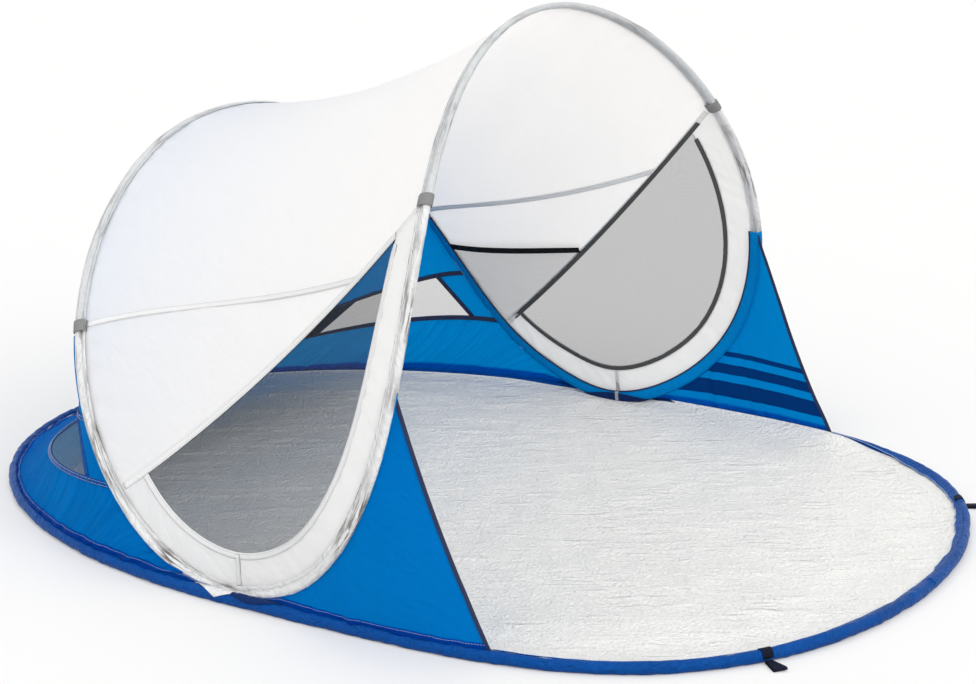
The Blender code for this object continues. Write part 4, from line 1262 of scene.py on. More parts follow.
    def hem(self, name: str, side: int) -> None:
        """One half of the blue hem sleeve, puckered along its seam.

        Args:
            name: The side's name.
            side: LEFT or RIGHT.
        """
        shares = np.linspace(-self.last_share, self.last_share, self.hem_rings)
        centres, outward = HOOPS.floor(shares, side), HOOPS.floor_outward(shares, side)
        turn = np.arange(self.hem_sides) * math.tau / self.hem_sides
        shape = np.stack([np.cos(turn) * self.hem_width / 2, np.sin(turn) * self.hem_height / 2], -1)
        run = np.linspace(0, 2 * self.quarter_run, self.hem_rings)
        offsets = noisy_ring(shape, run, 0.75 * MM, 0.012, 31 + side)
        offsets[:, :, 1] *= np.where(offsets[:, :, 1] > 0, self.tallness(shares, side)[:, None], 1)
        grid = (centres[:, None] + outward[:, None] * offsets[:, :, :1] + UP * offsets[:, :, 1:])
        grid[:, :, 2] = np.maximum(grid[:, :, 2], 0.2 * MM)
        tube_piece(f"hem_cloth_{name}", grid, BLUE_HEM, [f"floor_hem_{name}"])

    def over_hem(self, places: np.ndarray, side: int, angles: tuple[float, float], lift: float) -> np.ndarray:
        """A grid of points that wraps over the hem, from one angle to another.

        Args:
            places: Shares of the floor hoop.
            side: LEFT or RIGHT.
            angles: First and last angle round the hem, in degrees from level outwards.
            lift: How far the points are off the hem.

        Returns:
            Points as places by 14 by 3.
        """
        centres, outward = HOOPS.floor(places, side), HOOPS.floor_outward(places, side)
        columns = []
        for turn in np.radians(np.linspace(*angles, 14)):
            columns.append(centres + outward * math.cos(turn) * (self.hem_width / 2 + lift)
                           + UP * math.sin(turn) * (self.hem_height / 2 + lift))
        return np.stack(columns, 1)

    def foot_flap(self, name: str, side: int) -> None:
        """The end of the sleeve's cloth, crumpled over the hem at the foot, with a navy tab beside it.

        Args:
            name: The side's name.
            side: LEFT or RIGHT.
        """
        lowest, behind, before = -0.018, 0.050, 0.056
        places = np.linspace(-0.070, 0.040, 60)
        centres, _, inner, through = HOOPS.sleeve_frame(places, side)
        start = centres - inner * 3 * MM - facing_in(through, side) * 5.4 * MM
        path = np.concatenate([start[:, None], self.over_hem(places, side, (5, 135), 1.6 * MM)[:, ::-1]], 1)
        drop = np.clip(1 - np.abs(places - lowest) / np.where(places < lowest, behind, before), 0.02, 1)
        creases = Creases(crumple=1.8 * MM, crumple_size=0.012, fold=1.0 * MM, fold_size=0.008, pucker=0.0,
                          tip=0.006, seed=41)
        tape_piece(f"foot_flap_{name}", creases.press(part_of_threads(path, drop, 14)), WHITE_SLEEVE,
                   [f"foot_tie_{name}"])
        middle, half = 0.034, 0.068
        places = np.linspace(0.006, 0.100, 50)
        path = self.over_hem(places, side, (20, 150), 2.0 * MM)[:, ::-1]
        drop = np.clip(1 - np.abs((places - middle) / half) ** 1.5, 0.04, 1)
        creases = Creases(crumple=1.6 * MM, crumple_size=0.012, fold=0.8 * MM, fold_size=0.008, pucker=0.0,
                          tip=0.004, seed=43)
        tape_piece(f"foot_tab_{name}", creases.press(part_of_threads(path, drop, 12)), NAVY_TAB)


@dataclass
class SaddleCloths:
    """The sleeves round the saddle hoop, with the rod's roundness, a sewn flange and a row of stitches.

    The cover's shape, the piping's place and the fold's height and lift are in millimetres. The fold's reach is a
    share of the hoop. The navy fold at the foot is partly painted shade.
    """

    flange: float = 0.0115
    thickness: float = 0.0052
    clip_length: float = 0.020
    clip_half: tuple[float, float] = (0.0128, 0.0082)
    clip_open: float = 38.0
    cover_shape: tuple = ((-11.5, 0.8), (-9.5, 4.8), (-5.0, 7.0), (0.0, 7.4), (5.0, 6.8), (9.0, 5.8), (12.0, 5.0))
    piping_place: tuple[float, float] = (12.2, 5.0)
    piping_radius: float = 1.7 * MM
    fold_reach: float = 0.075
    fold_height: float = 22.0
    fold_lift: float = 1.6

    def build(self) -> None:
        """Makes the sleeves and the clips."""
        gap = 0.0006
        front, back = CUT.front_clip, CUT.back_clip
        self.sleeve("front_arch_cloth", front + gap, 2 - front - gap, LEFT, GREY_SLEEVE, "front_arch_sleeve", 220)
        self.sleeve("back_arch_cloth", -back - gap, back - 2 + gap, LEFT, GREY_SLEEVE, "back_arch_sleeve", 260)
        for name, side in SIDES.items():
            self.sleeve(f"side_cloth_{name}", gap - back, front - gap, side, WHITE_SLEEVE,
                        f"side_sleeve_{name}", 300)
            self.cover(name, side)
            for place_name, share in (("front", front), ("back", -back)):
                self.clip(place_name, name, share, side)

    def section(self) -> np.ndarray:
        """Outline of a sleeve: round over the rod and flat in its sewn flange.

        Returns:
            Outline points, as offsets along and through the cloth.
        """
        reach = np.concatenate([np.linspace(-1, 0.35, 9), np.linspace(0.5, 1.0, 4)])
        middle, half = -0.0040, 0.0068
        across_rod = reach * self.flange
        across_rod[0] = middle - half
        inside = np.clip(1 - ((across_rod - middle) / half) ** 2, 0, None)
        height = np.maximum(self.thickness * np.sqrt(inside), 0.0008)
        height[0] = 0.0001
        upper = np.stack([across_rod, height], -1)
        lower = np.stack([across_rod, -height], -1)[1:][::-1]
        return np.concatenate([upper, lower])

    def sleeve(self, name: str, start: float, stop: float, side: int, finish: Cloth, node: str,
               rings: int) -> None:
        """One length of sleeve between two shares of the hoop.

        Args:
            name: Name of the piece.
            start: Share of the hoop where it begins.
            stop: Share where it ends.
            side: LEFT or RIGHT.
            finish: Its cloth.
            node: The solid that it stands for.
            rings: Number of outlines along it.
        """
        shares = np.linspace(start, stop, rings)
        centres, _, inner, through = HOOPS.sleeve_frame(shares, side)
        offsets = noisy_ring(self.section(), line_run(centres), 0.45 * MM, 0.013, 51)
        grid = centres[:, None] + inner[:, None] * offsets[:, :, :1] + through[:, None] * offsets[:, :, 1:]
        tube_piece(name, grid, finish, [node])
        rows = [(centres + inner * 6.4 * MM + through * way * 1.3 * MM, through * way) for way in (-1, 1)]
        GREY_STITCHES.sew(f"{name}_stitches", rows)

    def cover(self, name: str, side: int) -> None:
        """The edge of the blue wall, sewn over the inside of the sleeve and bound with navy piping.

        Args:
            name: The side's name.
            side: LEFT or RIGHT.
        """
        shares = np.linspace(-CUT.back_clip + 0.012, CUT.wing_top - 0.004, 320)
        centres, along, _, _ = HOOPS.sleeve_frame(shares, side)
        inner = self.cloth_way(shares, side)
        inward = facing_in(np.cross(along, inner), side)
        grid = np.stack([centres + (inner * reach + inward * rise) * MM for reach, rise in self.cover_shape], 1)
        creases = Creases(crumple=0.5 * MM, crumple_size=0.02, fold=0.6 * MM, fold_size=0.012, pucker=0.0,
                          tip=0.01, seed=53)
        tape_piece(f"wall_edge_{name}", creases.press(grid), BLUE_EDGE, (), 0.6 * MM)
        turn = np.arange(8) * math.tau / 8
        middle = (centres + (inner * self.piping_place[0] + inward * self.piping_place[1]) * MM)[:, None]
        tube = middle + self.piping_radius * (inner[:, None] * np.cos(turn)[:, None]
                                              + inward[:, None] * np.sin(turn)[:, None])
        tube_piece(f"wall_piping_{name}", tube, NAVY_TAPE)
        # A navy fold over the sleeve's foot: partly a fold of navy cloth, partly painted shade where the sleeve meets
        # the hem.
        at_foot = np.abs(shares) < self.fold_reach
        reach, rise = (np.array(column) for column in zip(*self.cover_shape))
        tall = (1 - (shares[at_foot] / self.fold_reach) ** 2)[:, None] * self.fold_height
        reaches = reach[0] - 1.0 + tall * np.linspace(0, 1, 8)
        rises = np.interp(reaches, reach, rise) + self.fold_lift
        fold = (centres[at_foot][:, None] + inner[at_foot][:, None] * reaches[:, :, None] * MM
                + inward[at_foot][:, None] * rises[:, :, None] * MM)
        creases = Creases(crumple=1.0 * MM, crumple_size=0.012, fold=0.8 * MM, fold_size=0.009, pucker=0.0,
                          tip=0.008, seed=55)
        tape_piece(f"foot_fold_and_shade_{name}", creases.press(fold), NAVY_TAB, (), 0.8 * MM)

    def cloth_way(self, shares: np.ndarray, side: int) -> np.ndarray:
        """Directions from the rod into the white cloth beside it: the facing, and the roof above it at the back.

        Args:
            shares: Places along the saddle hoop.
            side: LEFT or RIGHT.

        Returns:
            One direction for each share.
        """
        _, along, _, _ = HOOPS.sleeve_frame(shares, side)
        places = (-shares - CUT.diagonal_foot) / (2 * (1 - CUT.diagonal_foot))
        held_places = np.clip(places, 0, None)
        start, later = (CUT.roof(held_places, np.full_like(shares, part), side) for part in (0.0, 0.04))
        return np.where(places[:, None] > 0, across(later - start, along), CUT.facing_way(shares, side))

    def clip(self, place_name: str, name: str, share: float, side: int) -> None:
        """A webbing clip folded round the joint of two sleeves, with its two ends sewn together.

        Args:
            place_name: Front or back.
            name: The side's name.
            share: Place along the hoop.
            side: LEFT or RIGHT.
        """
        centre, along, inner, through = (value[0] for value in HOOPS.sleeve_frame(share, side))
        turn = np.linspace(math.radians(self.clip_open), math.tau - math.radians(self.clip_open), 31)[:, None]
        ring = centre + inner * np.cos(turn) * self.clip_half[0] + through * np.sin(turn) * self.clip_half[1]
        ends = [ring[0] + inner * 3 * MM - through * 2.5 * MM, ring[-1] + inner * 3 * MM + through * 2.5 * MM]
        ring = np.concatenate([ends[:1], ring, ends[1:]])
        out = unit(ring - centre)
        grid = np.stack([ring + along * self.clip_length / 2 * part - out * 0.5 * MM * part ** 6
                         for part in np.linspace(-1, 1, 13)], 1)
        tape_piece(f"webbing_clip_{place_name}_{name}", grid, GREY_WEBBING, [f"clip_{place_name}_{name}"], 1.4 * MM)


@dataclass
class Roof:
    """The white roof with its two slanted seams and the bound, double-stitched lower hems."""

    counts: tuple[int, int] = (230, 120)
    sleeve_room: float = 8 * MM
    seam_width: float = 10 * MM
    hem_width: float = 12 * MM

    def build(self) -> None:
        """Makes the roof's pieces."""
        back: Curve = lambda at: HOOPS.saddle(CUT.roof_back(at))
        front: Curve = lambda at: HOOPS.saddle(CUT.roof_front(at))
        grid = threads(back, front, (held(back, self.sleeve_room), held(front, self.sleeve_room)),
                       self.counts, CUT.sag)
        cloth_piece("roof_cloth", grid, WHITE, ["roof"],
                    Creases(crumple=1.0 * MM, crumple_size=0.08, fold=3.0 * MM, fold_size=0.085, stretch=4.0,
                            slant=0.6, pucker=1.8 * MM, seed=61))
        for name, side in SIDES.items():
            self.seam(name, side)
            self.hem(name, side)

    def seam(self, name: str, side: int) -> None:
        """The felled seam from the back clip down to the slanted hem, with two rows of stitches on each face.

        Args:
            name: The side's name.
            side: LEFT or RIGHT.
        """
        start = (CUT.back_clip - CUT.diagonal_foot) / (2 * (1 - CUT.diagonal_foot))
        shares = np.linspace(0.012, CUT.seam_meets_hem, 70)
        places = start * (1 - (shares / CUT.seam_meets_hem) ** CUT.seam_turn)
        centres = CUT.roof(places, shares, side)
        beyond = CUT.roof(places + 0.01, shares, side) - centres
        along = line_way(centres)
        inward = facing_in(unit(np.cross(along, across(beyond, along))), side)
        for face, way in (("inner", 1), ("outer", -1)):
            grid = strip(centres, -beyond, beyond, self.seam_width, inward * way * 0.9 * MM, 0.0)
            tape_piece(f"roof_seam_{face}_{name}", grid, WHITE_TAPE)
            sideways = across(beyond, along)
            rows = [(centres + sideways * over * self.seam_width * 0.38 + inward * way * 1.5 * MM, inward * way)
                    for over in (-1, 1)]
            GREY_STITCHES.sew(f"roof_seam_stitches_{face}_{name}", rows)

    def hem(self, name: str, side: int) -> None:
        """The slanted hem: a white binding outside with two rows of stitches, and a dark tape inside.

        Args:
            name: The side's name.
            side: LEFT or RIGHT.
        """
        shares = np.linspace(0.022, 0.978, 110)
        centres = CUT.diagonal(shares, side)
        upward = CUT.roof(np.full_like(shares, 0.01), shares, side) - centres
        along = line_way(centres)
        up_cloth = across(upward, along)
        inward = facing_in(unit(np.cross(along, up_cloth)), side)
        outer = strip(centres + up_cloth * 2 * MM, -up_cloth, up_cloth, self.hem_width, -inward * 1.0 * MM)
        tape_piece(f"roof_hem_{name}", outer, WHITE_TAPE)
        inner = strip((centres + up_cloth * 1 * MM)[4:-4], -up_cloth[4:-4], up_cloth[4:-4], 9 * MM,
                      inward[4:-4] * 1.2 * MM)
        tape_piece(f"roof_tape_{name}", inner, DARK_TAPE, [f"diagonal_tape_{name}"])
        rows = [(centres + up_cloth * over * MM - inward * 1.6 * MM, -inward) for over in (-1.5, 5.5)]
        GREY_STITCHES.sew(f"roof_hem_stitches_{name}", rows)


@dataclass
class Sides:
    """Each side below the roof: a white facing along the sleeve, the net inside it and the net's tape."""

    rows: int = 230
    sleeve_depth: float = 8 * MM
    lap: float = 3 * MM
    tape_width: float = 8 * MM
    seam_share: float = 0.008
    sleeve_edge: float = 10 * MM
    sleeve_rise: float = 9.4 * MM

    def build(self) -> None:
        """Makes both sides."""
        for name, side in SIDES.items():
            self.facing(name, side)
            self.net(name, side)

    def facing(self, name: str, side: int) -> None:
        """The white facing with the short seam across its lowest place.

        Args:
            name: The side's name.
            side: LEFT or RIGHT.
        """
        part = np.linspace(0, 1, self.rows)
        depths = np.linspace(self.sleeve_depth, CUT.facing_width, 16)
        ends = [[CUT.crossing(arm, depth)[0] for arm in (-1, 1)] for depth in depths]
        columns = [CUT.facing(start + (stop - start) * part, float(depth), side)
                   for depth, (start, stop) in zip(depths, ends)]
        creases = Creases(crumple=0.9 * MM, crumple_size=0.03, fold=0.9 * MM, fold_size=0.022, pucker=2.0 * MM,
                          pucker_size=0.015, pucker_reach=0.03, seed=71 + side)
        cloth_piece(f"facing_cloth_{name}", np.stack(columns, 1), SHADED_WHITE_FACING, [f"side_facing_{name}"], creases)
        centre, along, inner, through = (value[0] for value in HOOPS.sleeve_frame(self.seam_share, side))
        inward = facing_in(through[None], side)[0]
        for face, way, low, finish in (("inner", 1, -9 * MM, GREY_TAPE), ("outer", -1, 12 * MM, WHITE_TAPE)):
            depth = np.linspace(low, CUT.facing_width, 26)
            over_sleeve = 1 - smooth((depth - self.sleeve_edge) / (6 * MM)) if way > 0 else np.zeros_like(depth)
            rise = 1 * MM + self.sleeve_rise * over_sleeve
            line = centre + inner * depth[:, None] + inward * way * rise[:, None]
            beside, out = np.tile(along, (26, 1)), np.tile(inward * way, (26, 1))
            grid = strip(line, -beside, beside, 7 * MM, np.zeros_like(line))
            tape_piece(f"facing_seam_{face}_{name}", grid, finish)
            rows = [(line + beside * over * MM + out * 0.7 * MM, out) for over in (-2.4, 2.4)]
            GREY_STITCHES.sew(f"facing_seam_stitches_{face}_{name}", rows)

    def net(self, name: str, side: int) -> None:
        """The side net, from the facing's edge up to the roof's slanted hem.

        Args:
            name: The side's name.
            side: LEFT or RIGHT.
        """
        (start, low_hem), (stop, high_hem) = (CUT.crossing(arm, CUT.facing_width) for arm in (-1, 1))
        seam: Curve = lambda at: CUT.facing(start + (stop - start) * at, CUT.facing_width, side)
        hem: Curve = lambda at: CUT.diagonal(low_hem + (high_hem - low_hem) * at, side)
        lap: Margin = lambda at, towards: np.full(len(at), -self.lap)
        grid = threads(seam, hem, (lap, lap), (170, 60))
        inward = facing_in(grid_normals(grid), side)
        creases = Creases(crumple=0.0, fold=1.4 * MM, fold_size=0.11, pucker=0.6 * MM, tip=0.20, seed=81)
        cloth_piece(f"net_cloth_{name}", grid + inward * 0.7 * MM, NET, [f"side_net_{name}"], creases)
        places = np.linspace(0.005, 0.985, 220)
        centres = seam(places)
        outer_way = -CUT.facing_way(start + (stop - start) * places, side)
        along = line_way(centres)
        sideways = across(hem(places) - centres, along)
        inward = facing_in(np.cross(along, sideways), side)
        grid = strip(centres + outer_way * 1.5 * MM, outer_way, sideways, self.tape_width, inward * 1.5 * MM)
        tape_piece(f"net_edge_tape_{name}", grid, DARK_TAPE, [f"net_tape_{name}"])
        band = strip(centres + outer_way * 2.5 * MM, outer_way, sideways, 11 * MM, -inward * 0.9 * MM)
        tape_piece(f"facing_hem_{name}", band, WHITE_TAPE)
        rows = [(centres + outer_way * over * MM - inward * 1.6 * MM, -inward) for over in (-0.5, 6.5)]
        GREY_STITCHES.sew(f"facing_stitches_{name}", rows)


@dataclass
class Wings:
    """The blue wings in front of the feet, with their navy bound edges."""

    counts: tuple[int, int] = (110, 80)
    binding: float = 6 * MM
    foot_band: float = 17 * MM

    def build(self) -> None:
        """Makes both wings."""
        for name, side in SIDES.items():
            self.wing(name, side)

    def wing(self, name: str, side: int) -> None:
        """One wing, pulled taut between the front arm, the hem and its bound front edge.

        Args:
            name: The side's name.
            side: LEFT or RIGHT.
        """
        foot: Curve = lambda at: HOOPS.floor(CUT.wing_foot * at, side)
        arm: Curve = lambda at: HOOPS.saddle(CUT.wing_top * at, side)
        grid = threads(foot, arm, (held(foot, 5 * MM), held(arm, 7 * MM)), self.counts)
        part = np.linspace(0, 1, self.counts[1])
        hollow = np.outer(np.linspace(0, 1, self.counts[0]), 4 * part * (1 - part))
        grid = grid + hollow[:, :, None] * np.array([0, CUT.wing_sag, 0])
        finish = BLUE_STRIPED if side == RIGHT else BLUE
        creases = Creases(crumple=0.9 * MM, crumple_size=0.06, fold=3.4 * MM, fold_size=0.050, stretch=3.0,
                          slant=-0.3, pucker=2.6 * MM, pucker_size=0.014, pucker_reach=0.06, seed=91 + side)
        creased = creases.press(grid)
        outward = facing_out(grid_normals(grid)[:, 3], grid[:, 3] - [0, HOOPS.foot_line, 0])
        FOOT_BAND.sew(f"wing_foot_{name}", creased, outward, self.foot_band)
        cloth_piece(f"wing_cloth_{name}", creased, finish, [f"wing_{name}"], None)
        edge, before = creased[-1], creased[-3]
        outward = across(edge - before, line_way(edge))
        normal = np.cross(line_way(edge), outward)
        for face, way in (("inner", 1), ("outer", -1)):
            band = strip(edge - outward * 1 * MM, -outward, outward, self.binding, normal * way * 0.8 * MM)
            nodes = [f"wing_binding_{name}"] if way > 0 else []
            tape_piece(f"wing_edge_{face}_{name}", band, NAVY_TAPE, nodes, 1.2 * MM)


@dataclass
class BackWall:
    """The blue back wall with its two net windows, dark middle panel and navy seam bands."""

    band: float = 9 * MM
    foot_band: float = 19 * MM
    corner_reach: float = 0.995
    counts: tuple[int, int] = (760, 26)

    def build(self) -> None:
        """Makes the back wall's pieces."""
        self.lower, self.upper = CUT.seam(CUT.lower_ends), CUT.seam(CUT.upper_ends)
        self.lower_share = HOOPS.arm_share(CUT.lower_ends[0])
        self.upper_share = HOOPS.arm_share(CUT.upper_ends[0])
        self.lower_wall()
        self.upper_wall()
        outer, inner = np.array(CUT.window_outer), np.array(CUT.window_inner)
        end = np.full(2, self.corner_reach)
        creases = Creases(crumple=0.4 * MM, fold=0.6 * MM, pucker=0.6 * MM, seed=101)
        for name, side in SIDES.items():
            self.panel(f"corner_cloth_{name}", side * end, side * outer, BLUE, [f"back_corner_{name}"], creases)
            self.panel(f"window_net_{name}", side * outer, side * inner, WINDOW_NET, [f"back_net_{name}"], creases)
            for place_name, shares in (("outer", outer), ("inner", inner)):
                self.upright(f"window_tape_{place_name}_{name}", side * shares,
                             [f"window_band_{place_name}_{name}"])
        self.panel("middle_cloth", -inner, inner, DARK_PANEL, ["back_middle_panel"], creases)
        self.seam_band("lower", self.lower)
        self.seam_band("upper", self.upper)

    def lower_wall(self) -> None:
        """The lower band of the wall, from the hem up to the lower seam and the sleeves."""
        end = (1 - CUT.band_seam) / 2

        def on_arm(at: np.ndarray) -> np.ndarray:
            """Shares of the back arm beside the seam's ends."""
            return np.where(at < 1 / 2, -np.minimum(at / end, 1) * self.lower_share,
                            np.minimum((1 - at) / end, 1) * self.lower_share - 2)

        def top(at: np.ndarray) -> np.ndarray:
            """The wall's upper line: a sleeve, the seam and the other sleeve."""
            sewn = self.lower(np.clip((2 * at - 1) / CUT.band_seam, -1, 1))
            return np.where(((at < end) | (at > 1 - end))[:, None], HOOPS.saddle(on_arm(at)), sewn)

        def top_margin(at: np.ndarray, towards: np.ndarray) -> np.ndarray:
            """The room beside a sleeve, and the little room along the seam."""
            return np.where((at < end) | (at > 1 - end), 5 * MM, 0.5 * MM)

        foot: Curve = lambda at: HOOPS.floor(-2 * at)
        grid = threads(foot, top, (held(foot, 5 * MM), top_margin), self.counts)
        creases = Creases(crumple=0.7 * MM, fold=2.6 * MM, fold_size=0.034, stretch=5.0, pucker=2.4 * MM,
                          pucker_size=0.0105, pucker_reach=0.045, tip=0.03, seed=111)
        cloth_piece("wall_lower_cloth", grid, BLUE_PLEATED, ["back_wall_lower"], creases)
        outward = facing_out(grid_normals(grid)[:, 2], grid[:, 2] * [1, 1, 0])
        FOOT_BAND.sew("wall_foot", creases.press(grid), outward, self.foot_band)

    def upper_wall(self) -> None:
        """The upper part of the wall, which closes the back arch."""
        arch: Curve = lambda at: HOOPS.saddle(-(self.upper_share + 2 * (1 - self.upper_share) * at))
        seam: Curve = lambda at: self.upper(2 * at - 1)
        grid = threads(seam, arch, (held(seam, 0.5 * MM), held(arch, 8 * MM)), (230, 80))
        cloth_piece("wall_upper_cloth", grid, BLUE, ["back_wall_upper"],
                    Creases(crumple=0.8 * MM, fold=2.6 * MM, fold_size=0.06, stretch=3.0, slant=0.3,
                            pucker=2.2 * MM, seed=121))

    def panel(self, name: str, from_shares: np.ndarray, to_shares: np.ndarray, finish: Cloth,
              nodes: Sequence[str], creases: Creases) -> None:
        """A panel between the two seams, from one slanted side to another.

        Args:
            name: Name of the piece.
            from_shares: Its first side's places on the two seams.
            to_shares: Its other side's places.
            finish: Its cloth.
            nodes: The solids that it stands for.
            creases: Creases pressed into it.
        """
        ends = [lambda at, row=row, index=index: row(
            from_shares[index] + (to_shares[index] - from_shares[index]) * at)
            for index, row in enumerate((self.lower, self.upper))]
        grid = threads(ends[0], ends[1], (held(ends[0], 0.5 * MM), held(ends[1], 0.5 * MM)), (60, 20))
        cloth_piece(name, grid, finish, nodes, creases)

    def upright(self, name: str, shares: np.ndarray, nodes: Sequence[str]) -> None:
        """A short navy tape up the side of a window.

        Args:
            name: First part of the name.
            shares: Its places on the two seams.
            nodes: The solids that it stands for.
        """
        low, high = self.lower(shares[:1])[0], self.upper(shares[1:])[0]
        line = low + (high - low) * np.linspace(0.01, 0.99, 14)[:, None]
        beyond = np.tile(tangents(self.lower, shares[:1]), (14, 1))
        for face, way in (("inner", -1), ("outer", 1)):
            normal = np.cross(unit(high - low), beyond[0])
            normal = normal * np.sign(normal[1]) * way
            grid = strip(line, -beyond, beyond, self.band, np.tile(normal * 0.7 * MM, (14, 1)))
            tape_piece(f"{name}_{face}", grid, BLUE_HEM if way > 0 else NAVY_TAPE, nodes if way > 0 else [])

    def seam_band(self, name: str, row: Curve) -> None:
        """A navy tape along one of the long seams, inside and outside.

        Args:
            name: Lower or upper.
            row: The seam.
        """
        shares = np.linspace(-0.985, 0.985, 160)
        window = self.upper(shares) - self.lower(shares)
        if name == "lower":
            before, after = HOOPS.floor(-1 - shares * CUT.band_seam) - row(shares), window
        else:
            before, after = -window, HOOPS.saddle(-1 - shares * (1 - self.upper_share)) - row(shares)
        along = tangents(row, shares)
        normal = np.cross(along, across(window, along))
        normal = normal * np.sign(normal[:, 1:2])
        for way in (-1, 1):
            grid = strip(row(shares), before, after, self.band, normal * way * 0.8 * MM)
            nodes = [f"seam_band_{name}"] if way > 0 else []
            label = f"seam_tape_{name}" if way > 0 else f"seam_tape_{name}_inner"
            tape_piece(label, grid, BLUE_HEM if way > 0 else NAVY_TAPE, nodes, 1.2 * MM)
            if way > 0:
                rows = [(grid[:, column] + normal * 0.9 * MM, normal) for column in (1, 3)]
                PALE_STITCHES.sew(f"{label}_stitches", rows)


@dataclass
class Pocket:
    """The net pocket inside the right side, with an elastic top edge."""

    top: float = 0.460
    along_hem: float = 0.430
    stand_off: float = 6.4 * MM
    bulge: float = 0.036
    elastic: float = 12 * MM
    lift: float = 6 * MM

    def build(self) -> None:
        """Makes the pocket and its edge."""
        arm: Curve = lambda at: HOOPS.saddle(CUT.diagonal_foot + (self.top - CUT.diagonal_foot) * at - 2)
        hem: Curve = lambda at: CUT.diagonal(self.along_hem * at, RIGHT)
        even: Margin = lambda at, towards: np.full(len(at), 6 * MM)
        grid = threads(arm, hem, (held(arm, 11 * MM), even), (60, 50))
        part, rise = np.linspace(0, 1, 50), np.linspace(0, 1, 60)
        drawn = smooth((rise - 0.55) / 0.45)
        swell = np.outer(rise * (1 - 0.45 * drawn) * 1.2, 4 * part * (1 - part))
        inside = facing_in(grid_normals(grid), RIGHT)
        grid = grid + inside * (self.stand_off + self.bulge * swell)[:, :, None]
        grid[:, :, 2] += np.outer(drawn, 4 * part * (1 - part)) * self.lift
        cloth_piece("pocket_cloth", grid, POCKET_NET, ["pocket_net"],
                    Creases(crumple=0.5 * MM, fold=1.0 * MM, pucker=0.5 * MM, seed=131))
        edge, before = grid[-1], grid[-4]
        outward = across(edge - before, line_way(edge))
        band = strip(edge + outward * self.elastic / 2, -outward, outward, self.elastic, np.zeros_like(edge))
        tape_piece("pocket_edge", band, BLACK_TAPE, ["pocket_elastic"], 1.6 * MM)


@dataclass
class PegLoops:
    """The two webbing loops for ground pegs, each sewn to the hem at the front."""

    share: float = 0.684
    width: float = 0.020
    length: float = 0.036
    height: float = 0.010
    strap: float = 1.8 * MM
    flat: float = 0.45
    sunk: float = 1.7 * MM
    from_hoop: float = 8 * MM
    tab_turn: tuple[float, float] = (-12, 165)
    tab_reach: tuple[float, float] = (9.4 * MM, 11.2 * MM)

    def build(self) -> None:
        """Makes both loops and the tabs that hold them."""
        for name, side in SIDES.items():
            self.loop(name, side)

    def loop(self, name: str, side: int) -> None:
        """One flattened loop, and the folded tab between it and the hem.

        Args:
            name: The side's name.
            side: LEFT or RIGHT.
        """
        share = np.array([self.share])
        at_hem = HOOPS.floor(share, side, 0.0, self.height / 2)[0]
        along = tangents(lambda at: HOOPS.floor(at, side), share)[0]
        outward = HOOPS.floor_outward(share, side)[0]
        pivot = at_hem + outward * (self.from_hoop + self.height / 2 + 0.6 * MM)
        centre = pivot + outward * (self.length - self.height) / 2
        run, radius = (self.length - self.height) / 2, self.height / 2 - self.strap / 2
        turns = np.linspace(-1, 1, 13) * math.pi / 2
        ring = [(end * (run + radius * math.cos(turn)), end * radius * math.sin(turn))
                for end in (1, -1) for turn in turns]
        ring.append(ring[0])
        widths = np.linspace(-1, 1, 9)
        grid = np.stack([[self.pinched(centre, outward, along, reach, high, part) for part in widths]
                         for reach, high in ring])
        tape_piece(f"peg_strap_{name}", grid, NAVY_WEBBING, [f"peg_loop_{name}"], self.strap, f"loop_{name}")
        base, rows = HOOPS.floor(share, side)[0], []
        for turn in np.radians(np.linspace(*self.tab_turn, 16)):
            point = base + outward * math.cos(turn) * self.tab_reach[0] + UP * math.sin(turn) * self.tab_reach[1]
            rows.append([point + along * self.width / 2 * 0.92 * part for part in widths])
        tape_piece(f"peg_tab_{name}", np.array(rows), NAVY_WEBBING)

    def pinched(self, centre: np.ndarray, outward: np.ndarray, along: np.ndarray, reach: float, high: float,
                part: float) -> np.ndarray:
        """A point of a loop that is gathered at the hem, spreads towards its end and is a little twisted.

        Args:
            centre: Middle of the loop.
            outward: Direction away from the hem.
            along: Direction along the hem.
            reach: Distance from the middle, outwards.
            high: Height over the middle.
            part: Place across the strap, from -1 to 1.

        Returns:
            The point.
        """
        share = float(smooth(np.array(reach / self.length + 0.5)))
        half = self.width / 2 * (0.55 + 0.50 * share) * part
        twist = 0.30 * share
        return (centre + outward * (reach + half * 0.25 * share) + along * half * math.cos(twist)
                + UP * (high * self.flat - self.sunk + half * math.sin(twist) * 0.4))


